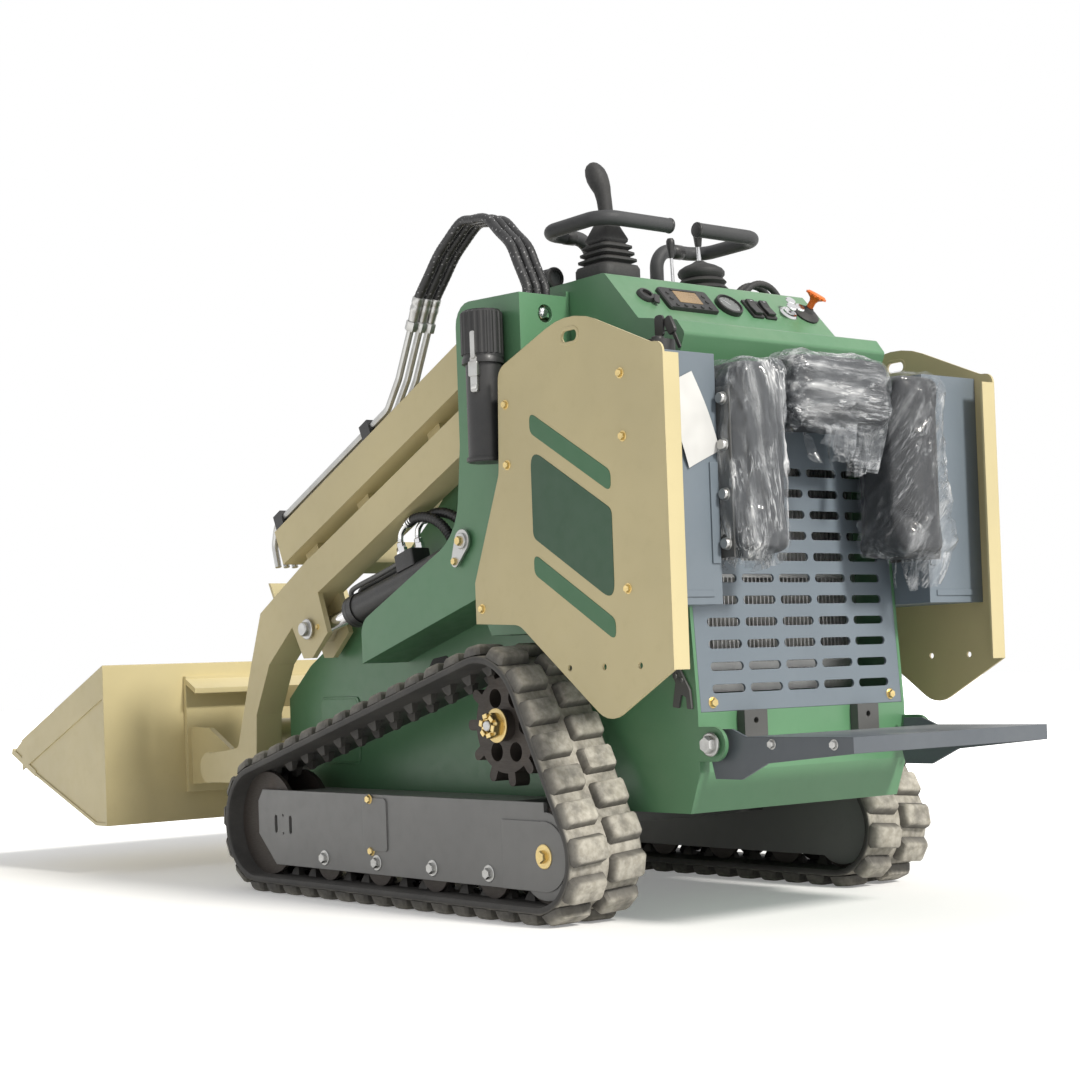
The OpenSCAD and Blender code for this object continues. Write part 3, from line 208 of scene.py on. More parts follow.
def metal(name, colour, rough=0.3, scratch=0.5, stain=0.3, stain_colour=(0.20, 0.15, 0.10), metallic=1.0):
    """Bare or plated metal with drawn scratches and stains."""
    s = Shader(name)
    long = s.noise(60.0, 3, 0.6, s.scaled(1, 14, 14))
    broad = s.noise(9.0, 4, 0.6)
    tone = s.mix(s.ramp(broad, 0.25, 0.75), dark(colour, 0.85), colour)
    tone = s.mix(s.times(s.ramp(s.noise(17.0, 5, 0.65), 0.52, 0.82), stain), tone, stain_colour)
    return s.set(Base_Color=tone, Roughness=s.ramp(long, 0.3, 0.7, rough - 0.06, rough + 0.14),
                 Normal=s.bump(long, 0.12 * scratch, 0.0004), Metallic=metallic)


def track_rubber(name):
    """Black rubber with dried mud on the tread, by the dust value that its mesh carries; where that value is
    low at the feet of the lugs, the black is painted shade.
    """
    s = Shader(name)
    worn = s.ramp(s.noise(24.0, 5, 0.6), 0.28, 0.60, 0.45, 1.0)
    share = s.times(s.attribute("dust"), worn, True)
    black = s.mix(s.ramp(s.noise(8.0, 4), 0.3, 0.7), (0.022, 0.021, 0.021), (0.045, 0.043, 0.041))
    mud = s.mix(s.ramp(s.noise(70.0, 4), 0.3, 0.7), (0.37, 0.345, 0.29), (0.54, 0.51, 0.445))
    cuts = s.noise(95.0, 4, 0.65, s.scaled(1.0, 0.35, 1.0))
    return s.set(Base_Color=s.mix(share, black, mud), Roughness=s.ramp(share, 0.0, 1.0, 0.62, 0.93),
                 Normal=s.bump(cuts, 0.5, 0.0016, s.bump(s.noise(420.0, 2), 0.2, 0.0004)))


def crease_axes(run):
    """Two directions across the creases of a film, and the one along them."""
    run = Vector(run).normalized()
    a = run.orthogonal().normalized()
    return a, run.cross(a), run


def film_look(name, run):
    """Thin clear film: hazy bands and bright creases along run, by the haze and highlight value that its
    mesh carries; the bright bands and creases are painted highlights, whiter and more opaque.
    """
    s = Shader(name)
    across, aside, along = (s.dot(s.coords, tuple(v)) for v in crease_axes(run))
    haze = s.attribute("haze")

    def streaks(pitch, length, detail):
        scaled = {0: s.times(across, 1 / pitch), 1: s.times(aside, 1 / pitch), 2: s.times(along, 1 / length)}
        return s.noise(1.0, detail, 0.6, s.node("CombineXYZ", 0, scaled))

    bands = s.ramp(streaks(0.030, 0.22, 4), 0.46, 0.72)
    fine = streaks(0.011, 0.15, 3)
    lines = s.ramp(s.math("ABSOLUTE", s.math("SUBTRACT", fine, 0.5)), 0.0, 0.045, 1.0, 0.0)
    lines = s.times(lines, s.ramp(s.noise(13.0, 3), 0.44, 0.62))
    # painted highlights: bright bands and crease lines, white in colour and more opaque, scaled by the haze
    # and highlight value
    painted_highlight = s.times(s.math("ADD", s.times(bands, 0.75), s.times(lines, 0.7)), haze, True)
    return s.set(Base_Color=s.mix(painted_highlight, (0.40, 0.43, 0.47), (0.90, 0.91, 0.92)),
                 Alpha=s.math("ADD", s.times(haze, 0.17), s.times(painted_highlight, 0.62), True),
                 Roughness=s.ramp(fine, 0.3, 0.7, 0.10, 0.22),
                 Normal=s.bump(fine, 0.6, 0.003, s.bump(bands, 0.5, 0.004)),
                 IOR=1.5, Coat_Weight=1.0, Coat_Roughness=0.06)


def hose_look(name):
    """Braided black hose with pale flecks in a spiral, by the fleck value that its mesh carries."""
    s = Shader(name)
    weave = s.noise(520.0, 2)
    black = s.mix(s.ramp(s.noise(40.0, 3), 0.3, 0.7), (0.014, 0.014, 0.015), (0.030, 0.030, 0.032))
    fleck = s.ramp(s.attribute("fleck"), 0.35, 0.75)
    return s.set(Base_Color=s.mix(fleck, black, (0.33, 0.33, 0.34)), Normal=s.bump(weave, 0.3, 0.0006),
                 Roughness=s.ramp(weave, 0.2, 0.8, 0.38, 0.55))


FILM_RUN = {"left": (0, 0.12, 1), "right": (-0.4, -0.4, 0.82), "center": (0, 1, 0.05)}
GREEN = (0.098, 0.240, 0.122)
TAN = (0.60, 0.515, 0.285)
SLATE = (0.155, 0.19, 0.225)
M = {
    "green": paint("green_paint", GREEN, 0.40, 0.22),
    "tan": paint("tan_paint", TAN, 0.46, 0.25, (0.66, 0.60, 0.46)),
    "slate": paint("slate_paint", SLATE, 0.45, 0.35, (0.42, 0.41, 0.38)),
    "deck": paint("deck_paint", (0.088, 0.102, 0.120), 0.48, 0.55, (0.36, 0.37, 0.37)),
    "frame": paint("frame_paint", (0.165, 0.165, 0.163), 0.42, 0.35, (0.34, 0.33, 0.30)),
    "charcoal": paint("dark_paint", (0.070, 0.071, 0.070), 0.5, 0.5, (0.30, 0.29, 0.26)),
    "band": paint("decal_band", (0.030, 0.085, 0.043), 0.5, 0.12, wear=0.0, coat=0.0),
    "stripe": paint("decal_stripe", (0.060, 0.165, 0.080), 0.5, 0.12, wear=0.0, coat=0.0),
    "plastic": rubber("black_plastic", (0.018, 0.018, 0.019), 0.42, 0.10),
    "vinyl": rubber("pad_vinyl", (0.016, 0.017, 0.020), 0.48, 0.05, scale=700.0),
    "rubber": rubber("rubber", (0.026, 0.026, 0.027), 0.66, 0.14),
    "track": track_rubber("track_rubber"),
    "cast": metal("cast_steel", (0.070, 0.060, 0.053), 0.55, 0.8, 0.4, (0.11, 0.075, 0.05), 0.4),
    "steel": metal("bare_steel", (0.50, 0.50, 0.49), 0.34, 0.5, 0.2),
    "chrome": metal("chrome_rod", (0.80, 0.80, 0.81), 0.12, 0.2, 0.05),
    "fins": metal("fin_metal", (0.80, 0.80, 0.79), 0.40, 0.8, 0.1),
    "orange": rubber("orange_plastic", (0.80, 0.16, 0.02), 0.45),
    "zinc": metal("zinc_bolt", (0.72, 0.56, 0.26), 0.32, 0.4, 0.2),
    "hose": hose_look("braided_hose"),
    "foam": rubber("grip_foam", (0.040, 0.041, 0.044), 0.62, 0.10, (0.22, 0.22, 0.21), 500.0),
    "paper": rubber("white_paper", (0.64, 0.64, 0.63), 0.8, 0.1, (0.62, 0.60, 0.55), 900.0),
    "screen": rubber("display_screen", (0.30, 0.20, 0.10), 0.25, scale=900.0),
    "dial": rubber("gauge_dial", (0.20, 0.21, 0.21), 0.5, scale=900.0),
    "lens": rubber("lamp_lens", (0.075, 0.078, 0.082), 0.12, scale=60.0),
}
for key, run in FILM_RUN.items():
    M["film_" + key] = film_look("clear_film_" + key, run)
NODE_LOOKS = {
    "green": "chassis_tub hood tower_left tower_right console",
    "tan": "shield_left shield_right lift_arm bucket hitch",
    "slate": "rear_grille tank_left tank_right",
    "deck": "platform",
    "frame": "track_frame_left track_frame_right",
    "charcoal": "cross_beams pad_brackets rear_brackets engine",
    "plastic": "filler_cap instruments canister lamp lift_barrel_left lift_barrel_right tilt_barrel "
               "tube_clamps",
    "vinyl": "pad_left pad_right pad_center",
    "rubber": "joystick hoses",
    "foam": "handrail_left handrail_right",
    "track": "track_left track_right",
    "cast": "sprocket_left sprocket_right track_wheels_left track_wheels_right",
    "steel": "levers arm_tubes",
    "chrome": "lift_rod_left lift_rod_right tilt_rod",
    "fins": "radiator",
    "orange": "throttle_knob",
}
for look, names in NODE_LOOKS.items():
    for name in names.split():
        obj = NODES[name]
        obj.data.materials.clear()
        obj.data.materials.append(M[look])

trees = {}
OUTSIDE = 0.6
BOLT_SINK, BOLT_TURN = 0.0008, 0.3


def seat(node, point, axis):
    """The spot on a node's surface that is met from outside, going against axis through point."""
    if node not in trees:
        mesh = NODES[node].data
        trees[node] = BVHTree.FromPolygons([v.co for v in mesh.vertices],
                                           [p.vertices for p in mesh.polygons])
    return trees[node].ray_cast(point + axis, -axis)[0]


def side_seat(node, sign, x, z):
    """The spot on a node's surface that is met from one side of the machine."""
    return seat(node, at(x, sign * OUTSIDE, z), Y * sign)


def new_object(name, data):
    obj = bpy.data.objects.new(name, data)
    bpy.context.scene.collection.objects.link(obj)
    return obj


def mesh_object(name, bm):
    mesh = bpy.data.meshes.new(name)
    bm.to_mesh(mesh)
    bm.free()
    mesh.shade_smooth()
    return new_object(name, mesh)


def subdivide(obj):
    smooth = obj.modifiers.new("subdivision", "SUBSURF")
    smooth.levels = smooth.render_levels = 1


def mm(*rows):
    """Rows of sizes given in millimetres."""
    return [tuple(v / 1000 for v in row) for row in rows]


def turned(*rows):
    """A profile of (radius, height) rows in millimetres, closed to its axis at both ends."""
    return mm((0, rows[0][1]), *rows, (0, rows[-1][1]))


def circle(n, shift=0.0):
    """Evenly spaced angles."""
    return [tau * (k + shift) / n for k in range(n)]


def around(u, v, a):
    """The direction at an angle from u towards v."""
    return u * cos(a) + v * sin(a)


def rounded(corners, r, steps=6):
    """A flat outline with its corners rounded."""
    out = []
    n = len(corners)
    for i in range(n):
        p, q, s = (Vector(corners[(i + k) % n]) for k in (-1, 0, 1))
        a, b = (p - q).normalized(), (s - q).normalized()
        half = a.angle(b) / 2
        cut = min(r / math.tan(half), (p - q).length * 0.49, (s - q).length * 0.49)
        for k in range(steps + 1):
            t = k / steps
            out.append((q + a * cut) * (1 - t) ** 2 + q * 2 * t * (1 - t) + (q + b * cut) * t * t)
    return out


def smooth_path(points, per=8):
    """A smooth curve through the points."""
    pts = [Vector(p) for p in points]
    ext = [2 * pts[0] - pts[1]] + pts + [2 * pts[-1] - pts[-2]]
    out = []
    for i in range(len(pts) - 1):
        a, b, c, d = ext[i:i + 4]
        for k in range(per):
            t = k / per
            out.append(0.5 * (2 * b + (c - a) * t + (2 * a - 5 * b + 4 * c - d) * t * t
                              + (3 * b - a - 3 * c + d) * t ** 3))
    return out + [pts[-1]]


class Form:
    """A piece gathered from small shapes."""

    def __init__(self):
        self.bm = bmesh.new()

    def ring(self, points):
        return [self.bm.verts.new(p) for p in points]

    def bridge(self, rings, closed=False):
        for a, b in zip(rings, rings[1:] + (rings[:1] if closed else [])):
            n = max(len(a), len(b))
            for i in range(n):
                j = (i + 1) % n
                quad = list(dict.fromkeys([a[i % len(a)], a[j % len(a)], b[j % len(b)], b[i % len(b)]]))
                if len(quad) > 2:
                    self.bm.faces.new(quad)

    def loft(self, rings, caps=True):
        rings = [self.ring(r) for r in rings]
        self.bridge(rings)
        if caps:
            for r in (rings[0], rings[-1]):
                if len(r) > 2:
                    self.bm.faces.new(r)
        return rings

    def revolve(self, profile, base, axis, n=20, turn=0.0):
        """Rings of (radius, height) about an axis."""
        a = axis.normalized()
        u = a.orthogonal().normalized()
        v = a.cross(u)
        rings = []
        for r, h in profile:
            rings.append([base + a * h + around(u, v, turn + t) * r for t in circle(n if r else 1)])
        return self.loft(rings)

    def prism(self, outline, base, u, v, depth, inset=0.0):
        """An outline in the plane of u and v, raised by depth, with a chamfer of inset."""
        w = u.cross(v).normalized()
        mid = sum((Vector(p) for p in outline), Vector((0, 0))) / len(outline)
        span = max((Vector(p) - mid).length for p in outline)
        k = 1 - inset / span
        levels = [(0, 1), (depth - inset * (depth > 0), 1), (depth, k)] if inset else [(0, 1), (depth, 1)]
        rings = []
        for h, s in levels:
            pts = [mid + (Vector(p) - mid) * s for p in outline]
            rings.append([base + u * p[0] + v * p[1] + w * h for p in pts])
        return self.loft(rings)

    def plate(self, size, base, u, v, depth, r=0.004, inset=0.0):
        a, b = size[0] / 2, size[1] / 2
        self.prism(rounded([(-a, -b), (a, -b), (a, b), (-a, b)], r, 4), base, u, v, depth, inset)

    def tube(self, path, r, n=10, caps=True):
        """A round tube along a path; r may be a function of the share of the way."""
        pts = [Vector(p) for p in path]
        d = (pts[1] - pts[0]).normalized()
        u = d.orthogonal().normalized()
        rings = []
        for i, p in enumerate(pts):
            d = (pts[min(i + 1, len(pts) - 1)] - pts[max(i - 1, 0)]).normalized()
            u = (u - d * u.dot(d)).normalized()
            v = d.cross(u)
            rad = r(i / (len(pts) - 1)) if callable(r) else r
            rings.append([p + around(u, v, t) * rad for t in circle(n)])
        return self.loft(rings, caps)

    def bolt(self, node, point, axis, size, washer=1.25, head=6):
        """A washer and a chamfered head, seated on a node; size is the head's radius."""
        p = seat(node, point, axis) - axis * BOLT_SINK
        t, rim = size * 0.28, size * washer
        self.revolve([(0, 0), (rim, 0), (rim, t * 0.7), (rim - t * 0.4, t), (0, t)], p, axis)
        self.revolve([(0, t), (size, t), (size, size * 0.8), (size * 0.86, size), (size * 0.3, size),
                      (0, size * 0.95)], p, axis, head, BOLT_TURN)

    def side_bolt(self, node, sign, x, z, *sizes):
        self.bolt(node, at(x, sign * OUTSIDE, z), Y * sign, *sizes)

    def done(self, name, look, body="chassis", angle=35, also=()):
        bmesh.ops.recalc_face_normals(self.bm, faces=self.bm.faces)
        obj = mesh_object(name, self.bm)
        obj.data.set_sharp_from_angle(angle=radians(angle))
        obj.data.materials.append(M[look])
        if body:
            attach(obj, body)
        for node in also:
            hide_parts(node)
        return obj


# Camera of the photograph
YAW, PITCH, ROLL = (radians(v) for v in (37.583, 1.232, -2.024))
FOCAL_PX, FRAME_PX, SENSOR = 1990.2, 1080.0, 36.0
CENTRE_PX = (501.19, 631.01)
CAMERA_AT = (-2.813, 2.816, 0.478)
look_dir = Vector((cos(YAW) * cos(PITCH), -sin(YAW) * cos(PITCH), sin(PITCH)))
side = Vector((-sin(YAW), -cos(YAW), 0))
up = side.cross(look_dir)
right = cos(ROLL) * side + sin(ROLL) * up
top = -sin(ROLL) * side + cos(ROLL) * up
cam = new_object("camera", bpy.data.cameras.new("camera"))
turn = Matrix((right, top, -look_dir)).transposed()
cam.matrix_world = Matrix.Translation(at(*CAMERA_AT)) @ turn.to_4x4()
cam.data.sensor_width = SENSOR
cam.data.lens = FOCAL_PX / FRAME_PX * SENSOR
cam.data.shift_x = (FRAME_PX / 2 - CENTRE_PX[0]) / FRAME_PX
cam.data.shift_y = (CENTRE_PX[1] - FRAME_PX / 2) / FRAME_PX
bpy.context.scene.camera = cam
bpy.context.scene.view_settings.view_transform = "Standard"

# Hoses from the left tower to the tubes on the arm
HOSE_R, HOSE_PITCH = 0.010, 0.023
HOSE_LINE = mm((250, 1201), (250, 1236), (253.7, 1249.5), (276, 1292), (299, 1335), (334, 1367.5),
               (375, 1402.5), (424, 1410), (462, 1411.8), (511, 1383.7), (547, 1358.5), (585, 1320),
               (619.5, 1284.5), (633, 1260), (644.1, 1238.1))
TUBE_DIR = Vector((0.0589, 0, -0.1156)).normalized()


hose_nuts, hose_sleeves = Form(), Form()
for i in (-1, 0, 1):
    y = ARM_Y + i * HOSE_PITCH
    line = smooth_path([at(x, y, z) for x, z in HOSE_LINE], 14)
    spiral = Form()
    fleck = spiral.bm.verts.layers.float.new("fleck")
    count = len(line) - 1
    rings = spiral.tube(line, lambda t: HOSE_R * (0.975 + 0.025 * sin(t * count * 2.1)), 16)
    for j, ring in enumerate(rings):
        for k, v in enumerate(ring):
            v[fleck] = 0.62 + 0.38 * sin(7.3 * j + 4.1 * k) if (j + 3 * k + i) % 8 == 0 else 0.0
    hose = spiral.done("hose_%d" % (i + 2), "hose", None, angle=60, also=("hoses",))
    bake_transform(hose)
    hose_nuts.revolve(turned((12, -4), (12.8, 0), (12.8, 16), (11.8, 18)), line[0], Z, 6)
    hose_sleeves.revolve(turned((11.2, -52), (12.2, -50), (12.2, -40), (11.3, -38), (11.3, -33),
                                (12.2, -31), (12.2, -22), (11.2, -20), (10.5, 0)), line[-1], TUBE_DIR, 18)
    hose_sleeves.revolve(turned((12.5, 1), (13.5, 3), (13.5, 20), (12.5, 22)), line[-1], TUBE_DIR, 6)
hose_nuts.done("hose_nuts", "zinc")
hose_sleeves.done("hose_sleeves", "steel", "arm")

# Tracks
WHEELS = [(0.130, 0.130, 0.092), (1.155, 0.155, 0.117), (0.293, 0.377, 0.122)]
BELT_T, TRACK_Y, LUG_PITCH = 0.016, 0.405, 0.072
BELT_STEPS, LUG_WEAR = 264, 0.0007
LUG_LEAN, LUG_MID, LUG_HALF = 0.0035, 0.045, 0.04


def loop_spots(count, shift=0.0):
    """Evenly spaced (point, outward normal) pairs along the inner face of the belt."""
    parts = []
    n = len(WHEELS)
    normals = []
    for i in range(n):
        (x0, z0, r0), (x1, z1, r1) = WHEELS[i], WHEELS[(i + 1) % n]
        d = Vector((x1 - x0, z1 - z0))
        k = (r0 - r1) / d.length
        d.normalize()
        normals.append(d * k + Vector((d.y, -d.x)) * math.sqrt(1 - k * k))
    for i in range(n):
        x0, z0, r0 = WHEELS[i]
        x1, z1, r1 = WHEELS[(i + 1) % n]
        a0 = math.atan2(normals[i - 1].y, normals[i - 1].x)
        a1 = math.atan2(normals[i].y, normals[i].x)
        a1 += tau * (a1 < a0)
        parts.append(((r0 + BELT_T) * (a1 - a0), Vector((x0, z0)), r0, a0, a1))
        p, q = Vector((x0, z0)) + normals[i] * r0, Vector((x1, z1)) + normals[i] * r1
        parts.append(((q - p).length, p, q, normals[i]))
    total = sum(p[0] for p in parts)
    out = []
    for k in range(count):
        s = ((k + shift) * total / count) % total
        for length, *part in parts:
            if s <= length:
                break
            s -= length
        if len(part) == 4:
            centre, r, a0, a1 = part
            t = a0 + (a1 - a0) * s / length
            nrm = Vector((cos(t), sin(t)))
            out.append((centre + nrm * r, nrm))
        else:
            p, q, nrm = part
            out.append((p.lerp(q, s / length), nrm))
    return out, total


BELT_EDGE = mm((-84, 0), (-88.5, 2), (-90, 6), (-90, 11), (-88.5, 14.5), (-84, 16), (-30, 16.6), (30, 16.6),
               (84, 16), (88.5, 14.5), (90, 11), (90, 6), (88.5, 2), (84, 0), (38, 0), (36, -1.5),
               (-36, -1.5), (-38, 0))
# The last column of LUG_RINGS is the dust share up the lug: dust near its top, painted shade at its foot.
LUG_RINGS = [(0.0155, 0.0270, 0.005, 0.0890, 0.15), (0.0290, 0.0235, 0.008, 0.0850, 0.45),
             (0.0355, 0.0212, 0.011, 0.0800, 0.9), (0.0378, 0.0178, 0.015, 0.0750, 1.0)]
TOOTH_RINGS = mm((1, 17, 19.5, 36.5), (-10, 12.5, 20.5, 34.5), (-18.5, 7.5, 22.5, 32), (-20, 5.5, 23.5, 31))
for hand, sign in SIDES.items():
    rng = random.Random(7)
    belt = Form()
    dust = belt.bm.verts.layers.float.new("dust")

    def spot(p, nrm, w, h, along=0.0):
        t = Vector((-nrm.y, nrm.x))
        q = p + nrm * h + t * along
        return at(q.x, sign * (TRACK_Y + w), q.y)

    spots, total = loop_spots(BELT_STEPS)
    rings = [belt.ring([spot(p, nrm, w, h) for w, h in BELT_EDGE]) for p, nrm in spots]
    belt.bridge(rings, closed=True)
    for ring in rings:
        for v, (w, h) in zip(ring, BELT_EDGE):
            v[dust] = 0.85 if h > 0.0155 else (0.25 if h > 0.013 else 0.03)
    lugs = round(total / LUG_PITCH)
    for row, shift in ((-1, 0.0), (1, 0.5)):
        for p, nrm in loop_spots(lugs, shift)[0]:
            wear = [rng.uniform(0, LUG_WEAR) for _ in range(4)]
            shade = rng.uniform(0.75, 1.0)
            rings = []
            for (h, half, w0, w1, d), drop in zip(LUG_RINGS, [0, 0, wear[0], wear[1]]):
                c = 0.22 * half + wear[2]
                outline = [(-half, w0 + c), (-half + c, w0), (half - c, w0), (half, w0 + c), (half, w1 - c),
                           (half - c, w1), (-half + c, w1), (-half, w1 - c)]
                ring = belt.ring([spot(p, nrm, row * w, h - drop,
                                       a + LUG_LEAN * row * (w - LUG_MID) / LUG_HALF) for a, w in outline])
                # dust share of this ring, low at the lug's foot as painted shade, times a random tone per
                # lug
                for v in ring:
                    v[dust] = d * shade
                rings.append(ring)
            belt.bridge(rings)
            belt.bm.faces.new(rings[-1])
    for p, nrm in loop_spots(lugs, 0.25)[0]:
        for row in (-1, 1):
            rings = []
            for h, half, w0, w1 in TOOTH_RINGS:
                rings.append(belt.ring([spot(p, nrm, row * w, h, a) for a, w in
                                        ((-half, w0), (half, w0), (half, w1), (-half, w1))]))
                for v in rings[-1]:
                    v[dust] = 0.06
            belt.bridge(rings)
            belt.bm.faces.new(rings[-1])
    belt.done("rubber_track_" + hand, "track", angle=38, also=("track_" + hand,))

# Bolts, nuts and pins on the running gear and the plates
BARREL_PIN, ROD_PIN, DECK_PIN = (0.427, 0.750), (1.078, 0.596), (-0.150, 0.335)
REAR_IDLER, SPROCKET = (0.130, 0.130), (0.293, 0.377)
ROLLER_X, ROLLER_Z = (0.905, 0.700, 0.498, 0.308), 0.088
SPLIT_X, SPLIT_Z, HUB_TURN = 0.7175, (0.222, 0.112), 0.26
SHIELD_BOLTS = [(-0.121, 1.012), (-0.122, 0.898), (-0.122, 0.623), (0.218, 0.998), (0.218, 0.881),
                (0.314, 0.607)]
GRILLE_BOLTS = [(0.245, 0.4105), (-0.245, 0.4105), (0.03, 0.885)]
KEEPER_DX, KEEPER_DZ, KEEPER_T, KEEPER_R = 0.025, 0.040, 0.005, (0.024, 0.0125)
KEEPER_BIG = [radians(76 + 208 * k / 16) for k in range(17)]
KEEPER_SMALL = [radians(-76 + 152 * k / 10) for k in range(11)]
bright, yellow = Form(), Form()
for hand, sign in SIDES.items():
    out = Y * sign
    rail, sprocket, tower = (name + hand for name in ("track_frame_", "sprocket_", "tower_"))
    for x in ROLLER_X:
        bright.side_bolt(rail, sign, x, ROLLER_Z, 0.0115, 1.5)
    for z in SPLIT_Z:
        yellow.side_bolt(rail, sign, SPLIT_X, z, 0.0085, 1.2)
    yellow.side_bolt(rail, sign, *REAR_IDLER, 0.0125, 1.9)
    hub = side_seat(sprocket, sign, *SPROCKET)
    yellow.revolve(turned((33, 0), (34, 2), (34, 4), (32, 5)), hub, out, 28)
    yellow.revolve(turned((25.5, 5), (26.5, 7), (26.5, 19), (25, 21), (14.5, 21), (14.5, 12)), hub, out, 6)
    for a in circle(6):
        r = around(X, Z, a + HUB_TURN)
        yellow.plate((0.0095, 0.013), hub + r * 0.0195 + out * 0.020, r, r.cross(out) * -sign, 0.008,
                     0.0015, 0.001)
    bright.revolve(turned((10.5, 12), (10.5, 27), (9, 29)), hub, out, 20)
    for x, z in SHIELD_BOLTS:
        yellow.side_bolt("shield_" + hand, sign, x, z, 0.0075, 1.35)
    pin = side_seat(tower, sign, *BARREL_PIN) - out * 0.0004
    turn = math.atan2(-KEEPER_DZ, KEEPER_DX)
    keeper = [around(X, Z, turn + a) * KEEPER_R[0] for a in KEEPER_BIG]
    keeper += [X * KEEPER_DX - Z * KEEPER_DZ + around(X, Z, turn + a) * KEEPER_R[1] for a in KEEPER_SMALL]
    bright.prism([(-sign * p.x, p.z) for p in keeper], pin, X * -sign, Z, KEEPER_T, 0.0008)
    bright.revolve([(0, KEEPER_T - 0.001), (0.0165, KEEPER_T - 0.001), (0.0165, 0.0085), (0.0150, 0.0100),
                    (0, 0.0100)], pin, out, 30)
    for c, base_h, r in ((pin, 0.0095, 0.0100),
                         (pin + X * KEEPER_DX - Z * KEEPER_DZ, KEEPER_T - 0.0005, 0.0080)):
        c = c + out * base_h
        head = [(0, 0), (r, 0), (r, r * 0.55), (r * 0.86, r * 0.75), (0, r * 0.75)]
        yellow.revolve(head, c, out, 6, BOLT_TURN)
for y, z in GRILLE_BOLTS:
    yellow.bolt("rear_grille", at(-OUTSIDE, y, z), -X, 0.0085, 1.3)
bright.done("bolts_bright", "steel")
yellow.done("bolts_yellow", "zinc")

# Rod pins and grease nipples on the arm, hitch bolts, platform bolts
NIPPLE, HITCH_BOLTS, DECK_BOLT_X = (1.043, 0.600), [(1.638, 0.290), (1.640, 0.255)], (-0.43, -0.28)
arm_pins, arm_nipples, hitch_bolts, deck_bolts = Form(), Form(), Form(), Form()
for sign in SIDES.values():
    arm_pins.side_bolt("lift_arm", sign, *ROD_PIN, 0.0165, 1.45, 18)
    arm_nipples.side_bolt("lift_arm", sign, *NIPPLE, 0.0055, 1.3)
    for x, z in HITCH_BOLTS:
        hitch_bolts.side_bolt("hitch", sign, x, z, 0.0075, 1.3)
    deck_bolts.side_bolt("platform", sign, *DECK_PIN, 0.0165, 1.35)
    for x in DECK_BOLT_X:
        deck_bolts.side_bolt("platform", sign, x, DECK_PIN[1], 0.0075, 1.3)
arm_pins.done("arm_pins", "steel", "arm")
arm_nipples.done("arm_nipples", "zinc", "arm")
hitch_bolts.done("hitch_bolts", "steel", "tool")
deck_bolts.done("deck_bolts", "steel", "step")

# Rolled eyes in the lifting holes of the shields
EYE_T, EYE_HALF, EYE_X, EYE_Y, EYE_Z = 0.0037, 0.0115, 0.019, 0.4515, 1.101
EYE_RINGS = [(0.0117, -EYE_T), (0.0165, -EYE_T), (0.0175, 0.001 - EYE_T), (0.0175, EYE_T - 0.001),
             (0.0165, EYE_T), (0.0117, EYE_T), (0.0105, EYE_T - 0.0012), (0.0105, 0.0012 - EYE_T)]
eyes = Form()
for sign in SIDES.values():
    rings = []
    for r, h in EYE_RINGS:
        middle = at(EYE_X, sign * EYE_Y + h, EYE_Z)
        rings.append(eyes.ring([middle + X * (r * cos(a) + math.copysign(EYE_HALF, cos(a)))
                                + Z * r * sin(a) for a in circle(40, 0.5)]))
    eyes.bridge(rings, closed=True)
eyes.done("shield_eyes", "tan")

# Shield artwork: plain slanted bands in two greens, by the heights of their rear ends
BAND_X, BAND_RISE, BAND_R = (-0.085, 0.145), 0.135, 0.022
ART_AT, ART_SINK, ART_T = (0.06, 0.75), 0.0003, 0.0009
ART = {"band": [(0.60, 0.770)], "stripe": [(0.800, 0.840), (0.530, 0.570)]}
for hand, sign in SIDES.items():
    face = side_seat("shield_" + hand, sign, *ART_AT)
    base = Vector((-X_MID, face.y - sign * ART_SINK, 0))
    for look, heights in ART.items():
        art = Form()
        for low, high in heights:
            flat = [(x, z + BAND_RISE * (x > 0)) for z in (low, high) for x in BAND_X]
            flat = [(-sign * x, z) for x, z in (flat[0], flat[1], flat[3], flat[2])]
            art.prism(rounded(flat, BAND_R, 8), base, X * -sign, Z, ART_T)
        art.done("decal_%s_%s" % (look, hand), look)

# Pads: foam blocks under vinyl, each in a bag of clear film that hangs open below
PAD_INSET, PAD_VOXEL, PAD_SWELL, PAD_ROUND, SWELL_FRAMES = 0.007, 0.006, 0.007, 0.022, 20
FILM_GAP, FILM_KEEP, FILM_STEPS = 0.0035, 0.84, 7
CREASE_SCALE, CREASE_SHARP, CREASE_H = (34, 34, 7), 2.4, 0.008
FOLD_SCALE, FOLD_H = 2.3, 0.0035
TAIL_SCALE, TAIL_WAVE = (42, 42, 18), 0.0035
PAD_BOLT_X, PAD_BOLT_Z = -0.2065, (0.70, 0.79, 0.88, 0.965)


